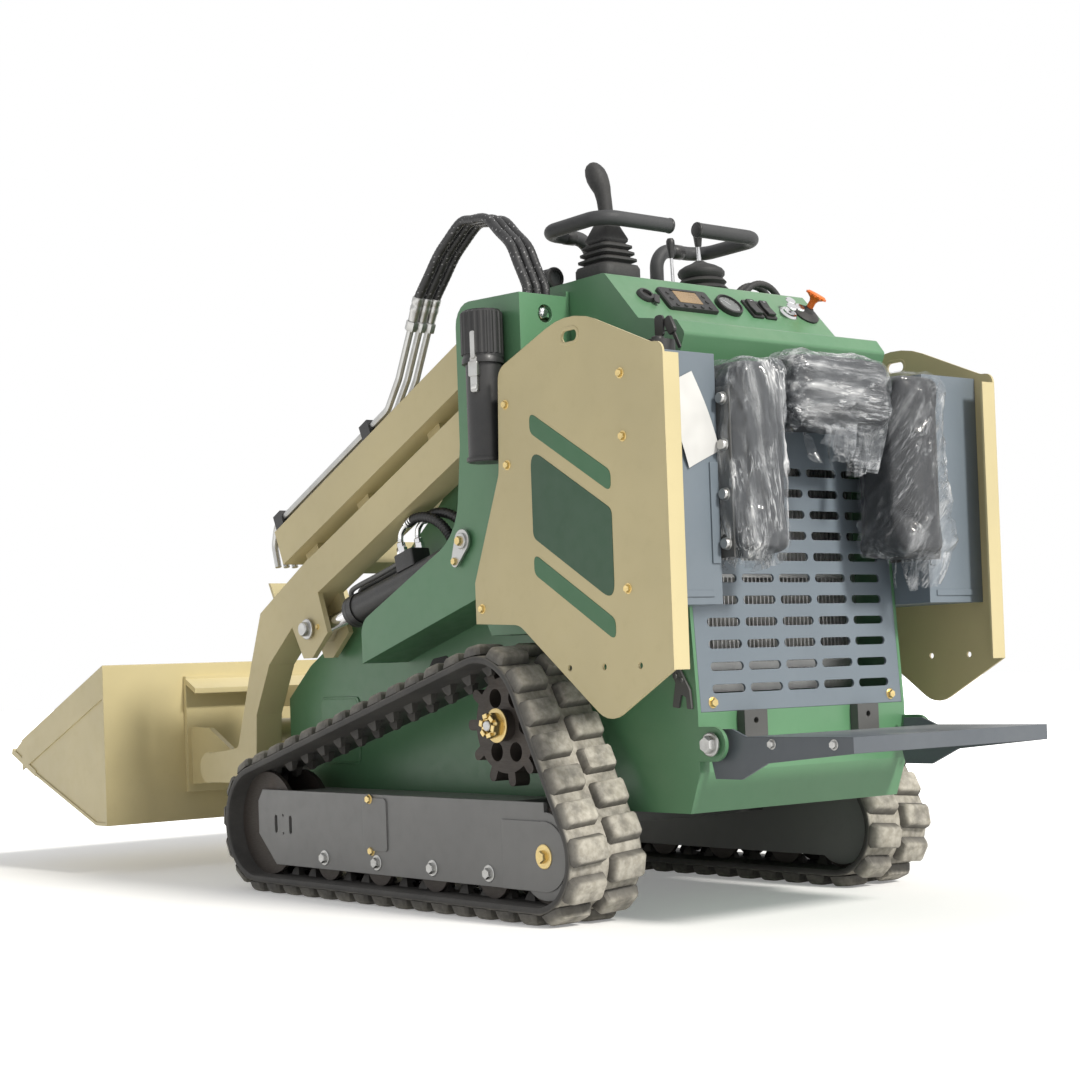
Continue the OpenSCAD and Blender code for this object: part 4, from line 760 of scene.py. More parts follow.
def cushion(node, name):
    lo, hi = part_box(node)
    bm = bmesh.new()
    bmesh.ops.create_cube(bm, size=1)
    size = hi - lo - Vector((PAD_INSET, 2 * PAD_INSET, 2 * PAD_INSET))
    mid = (lo + hi) / 2 + X * PAD_INSET / 2
    for v in bm.verts:
        v.co = mid + Vector((v.co.x * size.x, v.co.y * size.y, v.co.z * size.z))
    rim = [e for e in bm.edges if min(v.co.x for v in e.verts) < mid.x]
    bmesh.ops.bevel(bm, geom=rim, offset=PAD_ROUND, segments=4, profile=0.5, affect="EDGES")
    obj = mesh_object(name, bm)
    bpy.context.view_layer.objects.active = obj
    remesh = obj.modifiers.new("remesh", "REMESH")
    remesh.mode = "VOXEL"
    remesh.voxel_size = PAD_VOXEL
    bpy.ops.object.modifier_apply(modifier="remesh")
    rest = [v.co.copy() for v in obj.data.vertices]
    cloth = obj.modifiers.new("cloth", "CLOTH")
    cloth.settings.use_pressure = True
    cloth.settings.uniform_pressure_force = 4
    cloth.settings.tension_stiffness = 25
    cloth.settings.effector_weights.gravity = 0
    cloth.point_cache.frame_start = 1
    cloth.point_cache.frame_end = SWELL_FRAMES
    for k in range(1, SWELL_FRAMES + 1):
        bpy.context.scene.frame_set(k)
    moved = obj.evaluated_get(bpy.context.evaluated_depsgraph_get()).to_mesh()
    swollen = [v.co.copy() for v in moved.vertices]
    obj.modifiers.remove(cloth)
    bpy.context.scene.frame_set(1)
    for v, a, b in zip(obj.data.vertices, rest, swollen):
        step = b - a
        v.co = a + step * min(1.0, PAD_SWELL / max(step.length, 1e-6))
    for v in obj.data.vertices:
        v.co.x = min(v.co.x, hi.x)
    obj.data.shade_smooth()
    subdivide(obj)
    obj.data.materials.append(M["vinyl"])
    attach(obj, "chassis")
    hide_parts(node)
    return obj


def bag(key, tail, hang, haze, flare, seed):
    """Film round a pad: its rear, sides and top, pushed off it in creases, with a loose tail below."""
    pad, name = pads[key], "film_" + key
    axes = crease_axes(FILM_RUN[key])
    bm = bmesh.new()
    bm.from_mesh(pad.data)
    veil = bm.verts.layers.float.new("haze")
    back = max(v.co.x for v in bm.verts)
    low = min(v.co.z for v in bm.verts)
    bm.normal_update()
    gone = [f for f in bm.faces if f.calc_center_median().x > back - 0.006 or f.normal.z < -0.75]
    bmesh.ops.delete(bm, geom=gone, context="FACES")
    bm.normal_update()
    shift = Vector((seed, seed * 0.37, seed * 0.71))
    moves = {}
    for v in bm.verts:
        p = Vector([v.co.dot(axis) * k for axis, k in zip(axes, CREASE_SCALE)]) + shift
        crease = max(0, 1 - abs(noise.noise(p)) * CREASE_SHARP)
        fold = max(0, 1 - abs(noise.noise(p * FOLD_SCALE + shift)) * CREASE_SHARP)
        moves[v] = (v.normal * (FILM_GAP + CREASE_H * crease ** 2 + FOLD_H * fold ** 2), crease)
    for v, (step, crease) in moves.items():
        # the film's haze, plus a painted highlight along each crease ridge
        v[veil] = haze(v.co, v.normal) + 0.35 * crease ** 6
        v.co += step + flare(v.co, v.normal)
        v.co.x = min(v.co.x, back - 0.002)
    rim = [e for e in bm.edges if e.is_boundary and all(v.co.z < low + 0.03 for v in e.verts)]
    for k in range(FILM_STEPS):
        made = bmesh.ops.extrude_edge_only(bm, edges=rim)["geom"]
        rim = [g for g in made if isinstance(g, bmesh.types.BMEdge)]
        for v in {v for e in rim for v in e.verts}:
            drop = tail * (0.12 + 0.88 * hang(v.co)) / FILM_STEPS
            wave = noise.noise(Vector([c * k for c, k in zip(v.co, TAIL_SCALE)]) + shift) * TAIL_WAVE
            inward = (pad_mid(pad) - v.co) * (0.012 + 0.008 * k)
            v.co += Vector((inward.x * 1.4 + wave, inward.y * 0.5 + wave, -drop))
            v.co.x = min(v.co.x, back - 0.006)
        rim = [e for e in rim if e.is_boundary or len(e.link_faces) == 1]
    obj = mesh_object(name, bm)
    obj.data.materials.append(M[name])
    subdivide(obj)
    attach(obj, "chassis")
    if key != "center":
        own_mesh(obj)


def pad_mid(pad):
    vs = pad.data.vertices
    return sum((v.co for v in vs), Vector()) / len(vs)


pads = {k: cushion("pad_" + k, "cushion_" + k) for k in ("left", "right", "center")}


def ease(value, low, high):
    t = min(1.0, max(0.0, (value - low) / (high - low)))
    return t * t * (3 - 2 * t)


def no_flare(p, n):
    return Vector()


def outer_flare(p, n):
    """Loose film beside the outer edge of the right pad, wider towards its foot."""
    rear = ease(p.x, -1.150, -1.185)
    return Y * -ease(-n.y, 0.1, 0.8) * rear * (0.014 + 0.022 * ease(p.z, 0.95, 0.70))


# The haze values also scale the painted highlights: high over the whole left bag, in a bright strip along
# the right pad's outer edge, and over the top of the centre pad.
bag("left", 0.050, lambda p: 0.4, lambda p, n: 0.95, no_flare, 3.1)
bag("right", 0.062, lambda p: ease(p.y, -0.16, -0.25),
    lambda p, n: 0.44 + 0.65 * ease(p.y, -0.235, -0.275), outer_flare, 8.7)
bag("center", 0.085, lambda p: ease(p.y, 0.12, -0.11),
    lambda p, n: 0.85 + 0.35 * ease(p.z, 1.035, 1.055), no_flare, 5.3)
pad_bolts = Form()
for sign in SIDES.values():
    for z in PAD_BOLT_Z:
        pad_bolts.side_bolt("pad_brackets", sign, PAD_BOLT_X, z, 0.0105, 1.15, 18)
pad_bolts.done("pad_bolts", "steel")

# Blank paper tag hung on the left tank
TAG, TAG_AT, TAG_LEAN = (0.085, 0.155), (-0.1915, 0.385, 0.995), radians(24)
TAG_COLS, TAG_ROWS = 9, 15
tag = Form()
grid = []
for j in range(TAG_ROWS):
    line = []
    for i in range(TAG_COLS):
        a, b = (i / (TAG_COLS - 1) - 0.5) * TAG[0], j / (TAG_ROWS - 1) * TAG[1]
        c, s = cos(TAG_LEAN), sin(TAG_LEAN)
        curl = 0.006 * sin(3.0 * b / TAG[1]) + 0.10 * a * a / TAG[0]
        line.append(at(*TAG_AT) - X * curl + Y * (a * c - b * s) - Z * (b * c + a * s))
    grid.append(tag.ring(line))
for a, b in zip(grid, grid[1:]):
    for i in range(TAG_COLS - 1):
        tag.bm.faces.new([a[i], a[i + 1], b[i + 1], b[i]])
paper = tag.done("paper_tag", "paper")

# Instruments on the slope of the console
SLOPE_V = Vector((95.4, 0, 104.13)).normalized()
SLOPE_U = -Y
SLOPE_N = SLOPE_U.cross(SLOPE_V)
SLOPE_X, SLOPE_Z = 0.0699, 1.2019


def panel(y, up_slope=0.0, off=0.0):
    """A point on the slope, or off above it."""
    return at(SLOPE_X, y, SLOPE_Z) + SLOPE_V * up_slope + SLOPE_N * off


def tile(form, size, place, *depths):
    """A plate that lies on the slope."""
    form.plate(size, panel(*place), SLOPE_U, SLOPE_V, *depths)


DISPLAY_Y, DISPLAY_TOP, GAUGE_Y, GAUGE_TOP, NEEDLE_TOP = 0.104, 0.0085, -0.010, 0.0066, 0.0068
KEY_Y, SOCKET_Y = -0.182, 0.212
SWITCH_Y = (-0.078, -0.115)
case, glass, shiny, marks = Form(), Form(), Form(), Form()
tile(case, (0.132, 0.064), (DISPLAY_Y,), 0.009, 0.007, 0.0025)
tile(glass, (0.062, 0.036), (DISPLAY_Y, 0.004, DISPLAY_TOP), 0.0012, 0.002, 0.0004)
tile(case, (0.070, 0.004), (DISPLAY_Y, 0.0245, DISPLAY_TOP), 0.0022, 0.0012, 0.0006)
SMALL_KEY, KEY = mm((0, 0), (4.8, 0), (4.2, 2.4), (0, 2.9)), mm((0, 0), (5.2, 0), (4.5, 2.2), (0, 2.7))
for i in range(-2, 3):
    case.revolve(SMALL_KEY, panel(DISPLAY_Y + 0.022 * i, -0.024, DISPLAY_TOP), SLOPE_N, 14)
for dy in (-0.048, 0.048):
    for dv in (-0.004, 0.013):
        case.revolve(KEY, panel(DISPLAY_Y + dy, dv, DISPLAY_TOP), SLOPE_N, 14)
case.revolve(turned((31, 0), (31.5, 4), (30, 10), (26.5, 11), (25.5, 6)), panel(GAUGE_Y), SLOPE_N, 36)
marks.revolve(mm((0, 5.5), (25.4, 5.5), (25, 6.6), (0, 6.8)), panel(GAUGE_Y), SLOPE_N, 36)
for k in range(9):
    d = around(SLOPE_U, SLOPE_V, radians(225 - 33.75 * k))
    shiny.plate((0.0016, 0.0055), panel(GAUGE_Y, 0, GAUGE_TOP) + d * 0.0205, d.cross(SLOPE_N), d, 0.0006,
                0.0004)
hand_dir = (SLOPE_U * -0.6 + SLOPE_V * 0.8).normalized()
shiny.plate((0.0018, 0.019), panel(GAUGE_Y, 0, NEEDLE_TOP) + hand_dir * 0.007, hand_dir.cross(SLOPE_N),
            hand_dir, 0.0008, 0.0005)
for y in SWITCH_Y:
    tile(case, (0.031, 0.056), (y,), 0.005, 0.004, 0.001)
    for dv, tip in ((0.011, 0.006), (-0.011, -0.004)):
        rock = (SLOPE_V + SLOPE_N * tip * 18).normalized()
        case.plate((0.021, 0.023), panel(y, dv, 0.0055), SLOPE_U, rock, 0.0055, 0.002, 0.001)
    tile(shiny, (0.007, 0.002), (y, 0.016, 0.0118), 0.0008, 0.0008)
case.revolve(turned((19, 0), (19, 4), (16, 9), (10.5, 10), (9.5, 4)), panel(SOCKET_Y, 0.004), SLOPE_N, 28)
case.plate((0.013, 0.030), panel(0.195, -0.010, 0.006), (SLOPE_U * 0.85 - SLOPE_V * 0.5).normalized(),
           (SLOPE_V * 0.85 + SLOPE_U * 0.5).normalized(), 0.004, 0.004, 0.001)
shiny.revolve(turned((20, 0), (20.5, 3), (17, 7), (12.5, 8), (12.5, 4)), panel(KEY_Y), SLOPE_N, 28)
shiny.plate((0.0035, 0.020), panel(KEY_Y, 0, 0.016), SLOPE_U, SLOPE_N, 0.0045, 0.001)
for a in circle(3, 0.75):
    shiny.revolve(mm((0, 0), (10.5, 0), (12, 2), (10.5, 5), (0, 5.5)),
                  panel(KEY_Y, 0, 0.022) + around(SLOPE_U, SLOPE_V, a) * 0.0135, SLOPE_N, 18)
case.done("instrument_cases", "plastic", also=("instruments",))
glass.done("display_glass", "screen")
marks.done("gauge_dial", "dial")
shiny.done("key_and_marks", "chrome")

# Throttle: rubber disc, stem and a T-shaped orange handle
disc, knob = Form(), Form()
THROTTLE = (-0.238, 0.006)
base = panel(*THROTTLE)
disc.revolve(turned((30, 0), (30.5, 4), (24, 8), (14, 11), (9, 18)), base, SLOPE_N, 28)
pull = (SLOPE_N + SLOPE_V * 0.25 + Y * -0.22).normalized()
knob.revolve(mm((0, 14), (7.5, 14), (7.2, 30), (10, 36), (16, 40), (21.5, 43), (22.5, 46), (19, 49),
                (0, 50)), base, pull, 24)
u = pull.orthogonal().normalized()
for a in circle(12):
    d = around(u, pull.cross(u), a)
    knob.revolve(mm((0, 42.5), (2.8, 42.5), (2.8, 46.5), (0, 47.5)), base + d * 0.0205, pull, 8)
disc.done("throttle_boot", "rubber")
knob.done("throttle_handle", "orange", also=("throttle_knob",))


def square_ring(centre, half, power, n=36):
    """A ring from round, power 2, to nearly square."""
    out = []
    for t in circle(n):
        c, s = cos(t), sin(t)
        k = (abs(c) ** power + abs(s) ** power) ** (-1 / power)
        out.append(centre + (X * c + Y * s) * k * half)
    return out


# Joystick: square boot with bellows, a pointed collar and a swelling grip that leans forward
STICK_X, STICK_Y, CONSOLE_Z, BOOT_SHARE = 0.2396, 0.160, 1.2543, 0.87
stick = Form()
foot = at(STICK_X, STICK_Y, CONSOLE_Z)
BOOT = mm((0, 57), (3, 60), (36, 60), (43, 56), (46, 44), (48, 44), (52, 55), (56, 55), (60, 44), (62, 41),
          (66, 51), (70, 51), (74, 41), (76, 38), (80, 47), (84, 47), (88, 37), (90, 34), (94, 39),
          (99, 40), (127, 25), (133, 22), (135, 17))
rings = [square_ring(foot + Z * h, r * BOOT_SHARE, 7 if h < 0.13 else 4) for h, r in BOOT]
GRIP = mm((137, 15, 0), (160, 14.5, 0), (180, 15, 2), (196, 16.5, 5), (208, 20, 9), (220, 22, 13),
          (232, 22, 16), (244, 19.5, 19), (252, 14.5, 21), (257.5, 8, 21.5), (259.5, 2, 21.5))
rings += [square_ring(foot + Z * h + (X * 0.6 + Y * 0.8) * lean, r, 2.3) for h, r, lean in GRIP]
stick.loft(rings)
stick.done("joystick_boot", "rubber", angle=50, also=("joystick",))

# Two levers: chrome stems with long black knobs, the right one in a round bellows
LEVERS = [(-0.020, -0.010, 1.375, 0.70, 0.042), (-0.100, -0.088, 1.4144, 0.86, 0.050)]
stems, knobs, bellows = Form(), Form(), Form()
for y, top_y, top_z, slim, tall in LEVERS:
    low = at(STICK_X, y, CONSOLE_Z)
    high = at(STICK_X - 0.006, top_y, top_z)
    d = (high - low).normalized()
    span = (high - low).length
    stems.tube([low + d * (span - tall / 2) * k / 6 for k in range(7)], 0.0052 * slim, 14)
    foot_h = span - tall
    rows = [(0, foot_h), (0.0075, foot_h), (0.0085, foot_h + 0.004), (0.0130, span - 0.014),
            (0.0125, span - 0.006), (0.0085, span - 0.001), (0, span)]
    knobs.revolve([(r * slim, h) for r, h in rows], low, d, 22)
stems.revolve(turned((14, 0), (14, 3), (8, 6)), at(STICK_X, LEVERS[0][0], CONSOLE_Z), Z, 20)
FOLDS = mm((52, 0), (54, 6), (50, 11), (46, 13), (53, 20), (48, 26), (44, 28), (51, 35), (46, 41), (42, 43),
           (49, 50), (50, 57), (46, 63), (34, 70), (18, 76), (10, 81), (0, 81))
BELLOWS_Y, BELLOWS_LEAN = -0.110, 0.16
folds = []
for r, h in [(0, 0)] + FOLDS:
    centre = at(STICK_X, BELLOWS_Y, CONSOLE_Z) + Z * h + Y * BELLOWS_LEAN * h
    folds.append([centre + around(X, Y, t) * r for t in circle(32 if r else 1)])
bellows.loft(folds)
stems.done("lever_stems", "chrome", also=("levers",))
knobs.done("lever_knobs", "plastic")
bellows.done("lever_bellows", "rubber", angle=60)

# Two short hoses that arch over the right of the console
LOOP_R, LOOP_HOSE_R, LOOP_Y, LOOP_Z, LOOP_STEPS = 0.062, 0.0075, -0.2165, 1.2545, 36
LOOP_X = (0.178, 0.203)
LOOP_EXIT, LOOP_SUNK = radians(28), radians(22)
for i, x in enumerate(LOOP_X):
    line = []
    for k in range(LOOP_STEPS + 1):
        a = LOOP_SUNK + (math.pi - 2 * LOOP_SUNK) * k / LOOP_STEPS
        rise = LOOP_R * (sin(a) - sin(LOOP_EXIT))
        line.append(at(x, LOOP_Y + LOOP_R * cos(a), LOOP_Z + rise))
    loop = Form()
    loop.tube(line, lambda t: LOOP_HOSE_R * (0.97 + 0.03 * sin(t * 110)), 14)
    hose = loop.done("console_hose_%d" % (i + 1), "rubber", angle=60)

# Canister: ribbed cap, latch and clamp
TEETH, TOOTH_H, CAP_Z = 22, 0.0022, 0.088
LATCH = [(-0.165, 0.070, 0.004, 0.015), (-0.100, 0.055, 0.006, 0.010), (-0.135, 0.030, 0.008, 0.020)]
lo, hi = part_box("canister")
mid = (lo + hi) / 2
cap_r = (hi.x - lo.x) / 2
top_mid, low_mid = Vector((mid.x, mid.y, hi.z)), Vector((mid.x, mid.y, lo.z))
cap, latch, clamp = Form(), Form(), Form()
star = []
for i, a in enumerate(circle(TEETH * 4)):
    r = cap_r + TOOTH_H * (i % 4 in (1, 2))
    star.append((r * cos(a), r * sin(a)))
cap.prism(star, top_mid - Z * CAP_Z, X, Y, CAP_Z - 0.002, 0.004)
cap.revolve(turned((11, 0), (11, 4), (7, 7)), top_mid - Z * 0.0025, Z, 20)
cap.revolve([(0.030, -0.016), (cap_r + 0.0015, -0.014), (cap_r + 0.0015, -0.006), (cap_r - 0.001, 0),
             (0.030, 0)], top_mid - Z * 0.092, Z, 36)
cap.revolve([(0.030, 0), (cap_r - 0.0025, 0), (cap_r - 0.0015, 0.004), (cap_r - 0.0025, 0.008),
             (0.030, 0.008)], low_mid + Z * 0.002, Z, 36)
out = (X * -0.45 + Y * 0.89).normalized()
for z, tall, off, wide in LATCH:
    latch.plate((wide, tall), top_mid + Z * (z + tall / 2) + out * (cap_r - 0.004), Z.cross(out), Z,
                off + 0.003, 0.004, 0.0012)
latch.revolve(turned((6, 0), (6, 3), (3, 5)), top_mid - Z * 0.155 + out * (cap_r + 0.002), out, 16)
for z in (hi.z - 0.125, lo.z + 0.07):
    clamp.plate((0.030, 0.020), at(0.352, 0.4052, z), -X, Z, 0.012, 0.004, 0.001)
    clamp.plate((0.020, 0.014), at(0.336, 0.420, z), (X * -0.8 + Y * 0.6).normalized(), Z, 0.008, 0.003,
                0.001)
cap.done("canister_cap", "plastic")
latch.done("canister_latch", "steel")
clamp.done("canister_clamp", "charcoal")

# Isolator switch with its keys, on the left tank
key = Form()
lo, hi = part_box("filler_cap")
spot_k = Vector(((lo.x + hi.x) / 2, (lo.y + hi.y) / 2, hi.z))
key.revolve(turned((13, 0), (12, 8), (8, 10)), spot_k - Z * 0.0005, Z, 22)
key.plate((0.022, 0.040), spot_k + Z * 0.028 - Y * 0.003, X, Z, 0.006, 0.008, 0.0015)
key.plate((0.008, 0.030), spot_k + Z * 0.018 - Y * 0.004, X, Z, 0.004, 0.002, 0.001)
tip = (X * -0.45 + Z * -0.85).normalized()
across = tip.cross(Y)
hang_at = spot_k + Vector((-0.022, -0.012, 0.030))
key.plate((0.020, 0.036), hang_at + tip * 0.004, across, tip, 0.006, 0.008, 0.0015)
key.plate((0.007, 0.036), hang_at + tip * 0.036, across, tip, 0.003, 0.002, 0.0008)
ring = [hang_at + X * 0.012 + around(X, Z, t) * 0.011 for t in circle(20) + [tau]]
key.tube(ring, 0.0012, 8)
key.done("isolator_keys", "plastic")

# Lines and port blocks on the lift cylinders
ROD = Vector((ROD_PIN[0] - BARREL_PIN[0], 0, ROD_PIN[1] - BARREL_PIN[1])).normalized()
LIFT_UP = Vector((-ROD.z, 0, ROD.x))
PORT_S, PORT_TOP, PORT_LOW, PORT_SIZE, PORT_DS, PORT_DY = 0.277, 0.064, 0.026, (0.068, 0.050), 0.016, 0.012
PIPE_R, PIPE_N, PIPE_S = 0.0058, 0.0475, PORT_S + 0.030
ELBOW = mm((0, 22), (-1, 34), (-8, 46), (-22, 54), (-34, 57))
SLEEVE = mm((-40, 58), (-70, 59), (-105, 50), (-140, 30), (-165, 4), (-180, -22), (-188, -40))
for hand, sign in SIDES.items():
    pipes, ports, elbows = Form(), Form(), Form()

    def along_barrel(s, n, y=0.0):
        return at(BARREL_PIN[0], sign * ARM_Y + y, BARREL_PIN[1]) + ROD * s + LIFT_UP * n

    def route(s, y, steps, per):
        return smooth_path([along_barrel(s + ds, PORT_TOP + dn, y) for ds, dn in steps], per)

    for y in (PORT_DY, -PORT_DY):
        line = [(PIPE_S - 0.006, 0.050), (PIPE_S + 0.02, 0.0485), (PIPE_S + 0.08, PIPE_N), (0.43, PIPE_N),
                (0.490 - abs(y), PIPE_N), (0.508, 0.044), (0.515, 0.030)]
        pipes.tube(smooth_path([along_barrel(s, n, y) for s, n in line]), PIPE_R, 12)
    ports.plate(PORT_SIZE, along_barrel(PORT_S, PORT_LOW), ROD, Y, PORT_TOP - PORT_LOW, 0.005, 0.002)
    for s, y in ((PORT_S - PORT_DS, -PORT_DY), (PORT_S + PORT_DS, PORT_DY)):
        elbows.revolve(turned((11.5, 0), (12.2, 1), (12.2, 14), (11, 16)),
                       along_barrel(s, PORT_TOP - 0.001, y), LIFT_UP, 6)
        elbows.revolve(turned((9.5, 15), (9.5, 24), (8, 26)), along_barrel(s, PORT_TOP, y), LIFT_UP, 20)
        bend = route(s, y, ELBOW, 6)
        elbows.tube(bend, 0.0062, 14)
        way = (bend[-1] - bend[-3]).normalized()
        elbows.tube([bend[-3] + way * k for k in (0, 0.003, 0.026, 0.029)],
                    lambda t: 0.0098 if 0.2 < t < 0.9 else 0.0085, 16)
        run = route(s, y, SLEEVE, 26)
        turns = len(run)
        ports.tube(run, lambda t: 0.0094 + 0.0018 * sin(t * turns * 0.9), 14)
    ports.revolve(turned((36.5, 0), (37.5, 3), (37.5, 10), (36.5, 13)), along_barrel(0.506, 0), ROD, 36)
    pipes.done("cylinder_pipes_" + hand, "charcoal", "barrel_" + hand)
    ports.done("cylinder_ports_" + hand, "plastic", "barrel_" + hand)
    elbows.done("port_elbows_" + hand, "chrome", "barrel_" + hand)

# Cooling fins behind the grille
FINS, FIN_MARGIN = 46, 0.03
fins = Form()
lo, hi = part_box("radiator")
for i in range(FINS):
    y = lo.y + FIN_MARGIN + (hi.y - lo.y - 2 * FIN_MARGIN) * i / (FINS - 1)
    fins.plate((0.016, hi.z - lo.z - 0.03), Vector((lo.x - 0.0075, y, (lo.z + hi.z) / 2)), X, Z, 0.0032,
               0.001)
for z in (lo.z + 0.05, (lo.z + hi.z) / 2, hi.z - 0.05):
    fins.plate((hi.y - lo.y - 0.04, 0.014), Vector((lo.x, 0, z)), -Y, Z, 0.0185, 0.003, 0.001)
fins.done("cooling_fins", "fins")

# Work lamp in its yoke on the console's left front
lamp, lens = Form(), Form()
lo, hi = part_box("lamp")
mid = (lo + hi) / 2
LAMP_R = (hi.y - lo.y) / 2 - 0.0005
rear = Vector((lo.x, mid.y, hi.z - LAMP_R - 0.001))
LAMP_RINGS = [(0.60, 0.000), (0.86, 0.000), (0.98, 0.002), (1.00, 0.005), (0.98, 0.009), (0.88, 0.011),
              (0.88, 0.014)]
LAMP_FIN = [(0.95, 0.001), (0.95, 0.0035), (0.85, 0.0045)]
LAMP_RINGS += [(k, 0.014 + 0.0055 * i + d) for i in range(4) for k, d in LAMP_FIN]
LAMP_RINGS += [(0.80, 0.038), (0.62, 0.046), (0.36, 0.050), (0.30, 0.053), (0, 0.053)]
lamp.revolve([(k * LAMP_R, h) for k, h in [(0.60, 0.0035)] + LAMP_RINGS], rear, X, 36)
LENS_RINGS = [(0, 0.0018), (0.30, 0.0022), (0.62, 0.0036), (0.62, 0.0060), (0, 0.0060)]
lens.revolve([(k * LAMP_R, h) for k, h in LENS_RINGS], rear, X, 30)
lamp.plate((0.034, 0.040), Vector((mid.x, mid.y, lo.z)), X, Y, 0.003, 0.005, 0.0008)
for sign in SIDES.values():
    y = mid.y + sign * (LAMP_R - 0.0036)
    lamp.plate((0.016, 0.030), Vector((mid.x, y, lo.z + 0.0155)), X, Z, 0.0030, 0.003)
    lamp.revolve(mm((0, 0), (5.5, 0), (5, 2.5), (0, 3)), Vector((mid.x, y, rear.z)), Y * sign, 16)
lamp.done("lamp_body", "plastic", also=("lamp",))
lens.done("lamp_glass", "lens")

# Fittings behind the holes in the towers' rear plates
FITTING_X, FITTING_Z = 0.2335, 1.1895
fittings = Form()
for sign in SIDES.values():
    c = at(FITTING_X, sign * ARM_Y, FITTING_Z)
    fittings.revolve(turned((12.5, 0), (12.5, 3), (11.5, 4)), c, -X, 6)
    fittings.revolve(mm((0, 4), (8.5, 4), (8.2, 5.5), (6, 7), (0, 7.6)), c, -X, 20)
fittings.done("tower_fittings", "chrome")

# Pressed panels and rubber plugs on the chassis sides, with the catches at the tail
PANEL_AT, PLUG_AT, CATCH_AT, SIDE_SINK = (1.100, 0.36), (0.692, 0.492), (-0.075, 0.440), 0.0002
PANELS = [((0.165, 0.155), 0.0012), ((0.155, 0.145), 0.0020)]
PLUG = mm((-49, -30), (47, -30), (52, 4), (22, 30), (-30, 24), (-52, -4))
HOOK = mm((-30, 38), (-6, 40), (22, -4), (26, -40), (14, -40), (12, -18), (-2, -12), (-10, -38), (-26, -36),
          (-16, 10))
panels, plugs, catches = Form(), Form(), Form()
for sign in SIDES.values():
    out, u = Y * sign, X * -sign
    base = side_seat("chassis_tub", sign, *PANEL_AT) - out * SIDE_SINK
    for size, depth in PANELS:
        panels.plate(size, base, u, Z, depth, 0.016, 0.0008)
    base = side_seat("chassis_tub", sign, *PLUG_AT) - out * SIDE_SINK
    plugs.prism(rounded([(sign * x, z) for x, z in PLUG], 0.016), base, u, Z, 0.0026, 0.0012)
    base = side_seat("chassis_tub", sign, *CATCH_AT) - out * 2 * SIDE_SINK
    catches.prism(rounded([(sign * x, z) for x, z in HOOK], 0.003, 3), base, u, Z, 0.006, 0.001)
    for dx, dz in ((-0.014, 0.022), (0.002, 0.014)):
        catches.revolve(mm((0, 6), (5.5, 6), (5, 9.5), (0, 10.5)), base + u * dx + Z * dz, out, 14)
panels.done("side_panels", "green")
plugs.done("side_plugs", "rubber")
catches.done("tail_catches", "charcoal")

# Bands and end caps on the foam of the handrails
bands = Form()
RAIL_R, RAIL_Z, RAIL_NEAR, RAIL_FAR = 0.015, 1.385, 0.1819, 0.3679
RAIL_END_Y, RAIL_BAND_Y, RAIL_FOOT_Y, RAIL_FOOT_Z = 0.0362, 0.139, 0.092, 1.2541
for sign in SIDES.values():
    out = Y * sign
    for x, y, length in ((RAIL_FAR, RAIL_BAND_Y, 0.026), (RAIL_NEAR, RAIL_END_Y, 0.005)):
        bands.revolve([(RAIL_R - 0.004, 0), (RAIL_R + 0.0004, 0), (RAIL_R + 0.0010, 0.001),
                       (RAIL_R + 0.0010, length - 0.001), (RAIL_R + 0.0004, length),
                       (RAIL_R - 0.004, length)], at(x, sign * y, RAIL_Z), out, 30)
    bands.revolve([(0, -0.0022), (0.007, -0.0020), (RAIL_R - 0.003, -0.0008), (RAIL_R - 0.002, 0.001),
                   (0, 0.001)], at(RAIL_NEAR, sign * RAIL_END_Y, RAIL_Z), out, 26)
    bands.revolve([(RAIL_R - 0.003, 0), (RAIL_R + 0.010, 0), (RAIL_R + 0.009, 0.003),
                   (RAIL_R + 0.0012, 0.005), (RAIL_R + 0.0005, 0.012), (RAIL_R - 0.003, 0.012)],
                  at(RAIL_FAR, sign * RAIL_FOOT_Y, RAIL_FOOT_Z), Z, 30)
bands.done("handrail_bands", "plastic")

# Screws on the tube clamps
BAR_FALL = radians(24)
BAR_UP = Vector((sin(BAR_FALL), 0, cos(BAR_FALL)))
screws = Form()
spots = [v.co for v in NODES["tube_clamps"].data.vertices]
cut = (min(p.x for p in spots) + max(p.x for p in spots)) / 2
for group in ([p for p in spots if p.x < cut], [p for p in spots if p.x >= cut]):
    mid = sum(group, Vector()) / len(group)
    for i in (-1, 1):
        screws.bolt("tube_clamps", Vector((mid.x, ARM_Y + i * HOSE_PITCH / 2, mid.z)), BAR_UP, 0.0045, 1.3)
screws.done("clamp_screws", "steel", "arm")

# Spacers on the platform's pivot pins
SPACER_Y = 0.2654
spacers = Form()
for sign in SIDES.values():
    spacers.revolve(mm((9.2, 0), (20, 0), (20.5, 0.8), (20.5, 10), (20, 10.8), (9.2, 10.8)),
                    at(DECK_PIN[0], sign * SPACER_Y, DECK_PIN[1]), Y * sign, 28)
spacers.done("deck_spacers", "steel", "step")

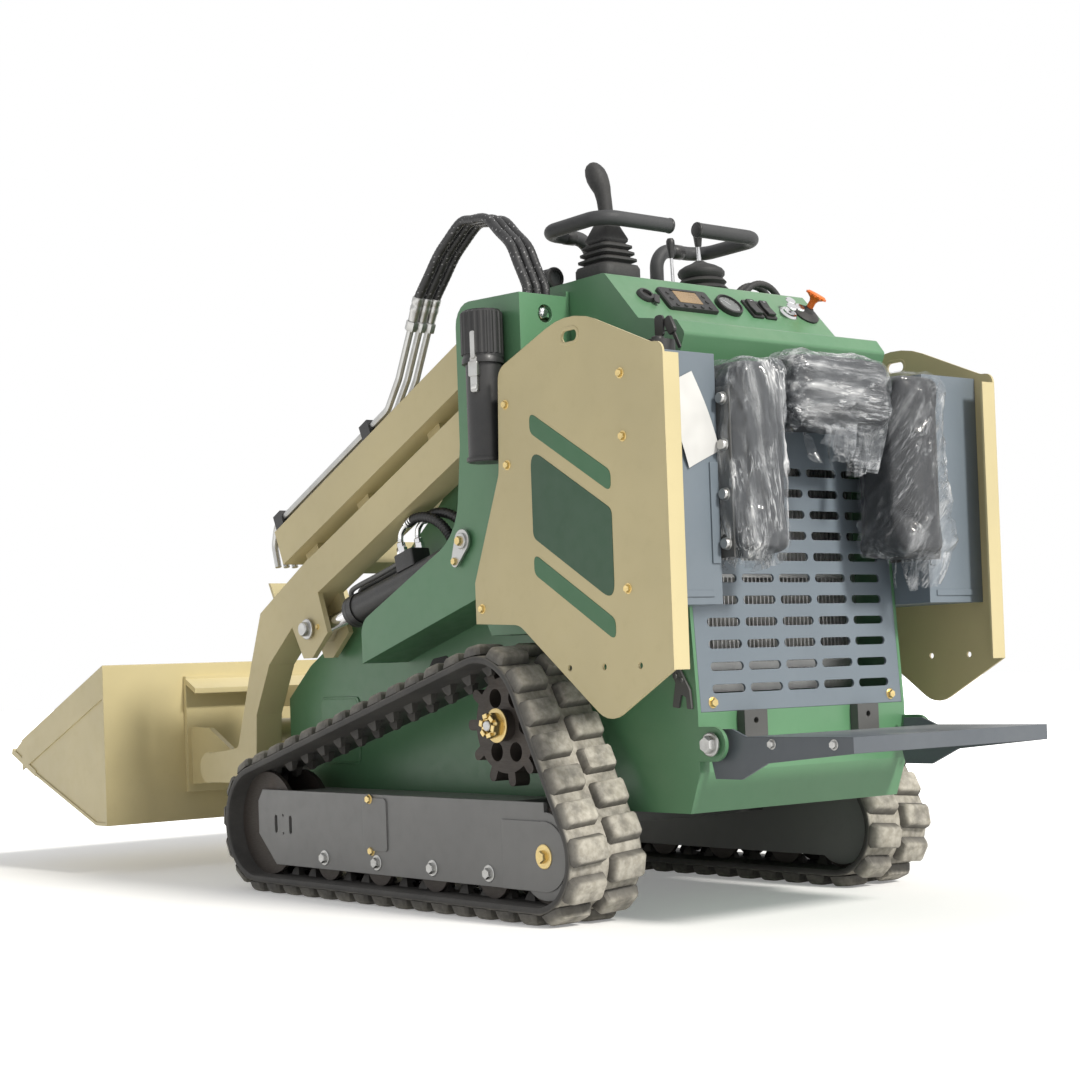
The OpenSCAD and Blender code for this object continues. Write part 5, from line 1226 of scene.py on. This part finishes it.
# Cover strip with its gap on the rear of each tank
STRIPS = [((0.020, 0.185), 0.2985, 0.757, 0.0035), ((0.120, 0.012), 0.366, 0.610, 0.0025)]
strips = Form()
for hand, sign in SIDES.items():
    face = seat("tank_" + hand, at(-OUTSIDE, sign * 0.37, 0.72), -X)
    for size, y, z, depth in STRIPS:
        strips.plate(size, Vector((face.x + SIDE_SINK, sign * y, z)), -Y, Z, depth, 0.002, 0.0006)
strips.done("tank_strips", "slate")

# Light and floor
SUN, SUN_ANGLE, SUN_DIR, SUN_COLOUR = 3.3, radians(9), Vector((0.80, 0.10, -0.59)), (1.0, 0.97, 0.91)
AMBIENT, FLOOR, FLOOR_GLOW, FLOOR_FADE = 0.42, 40.0, 0.22, (1.5, 3.4)
sun = new_object("sun", bpy.data.lights.new("sun", "SUN"))
sun.data.energy = SUN
sun.data.angle = SUN_ANGLE
sun.data.color = SUN_COLOUR
sun.rotation_mode = "QUATERNION"
sun.rotation_quaternion = SUN_DIR.to_track_quat("-Z", "Y")

sky = Shader("world", bpy.data.worlds, "Background")
level = sky.node("MapRange", 0, {"Value": sky.backdrop(), "To Min": AMBIENT, "To Max": 1.0})
bpy.context.scene.world = sky.set(Color=(1.0, 1.0, 1.0), Strength=level)

floor_mesh = bpy.data.meshes.new("floor")
floor_mesh.from_pydata([(x * FLOOR, y * FLOOR, 0) for x, y in ((-1, -1), (1, -1), (1, 1), (-1, 1))], [],
                       [(0, 1, 2, 3)])
floor = new_object("floor", floor_mesh)
fs = Shader("floor")
pale = fs.mix(fs.ramp(fs.noise(1.2, 4), 0.3, 0.7), (0.86, 0.86, 0.855), (0.90, 0.90, 0.895))
floor_mesh.materials.append(fs.set(Base_Color=pale, Roughness=0.9))
far = fs.ramp(fs.node("VectorMath", "Value", {0: fs.coords}, operation="LENGTH"), *FLOOR_FADE, FLOOR_GLOW,
              1.0)
glow = fs.node("Emission", 0, {"Color": (1.0, 1.0, 1.0), "Strength": fs.times(fs.backdrop(), far)})
both = fs.node("AddShader", 0, {0: fs.bsdf.outputs[0], 1: glow})
fs.put(fs.tree.nodes["Material Output"].inputs[0], both)
floor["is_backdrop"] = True

lo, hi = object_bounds()
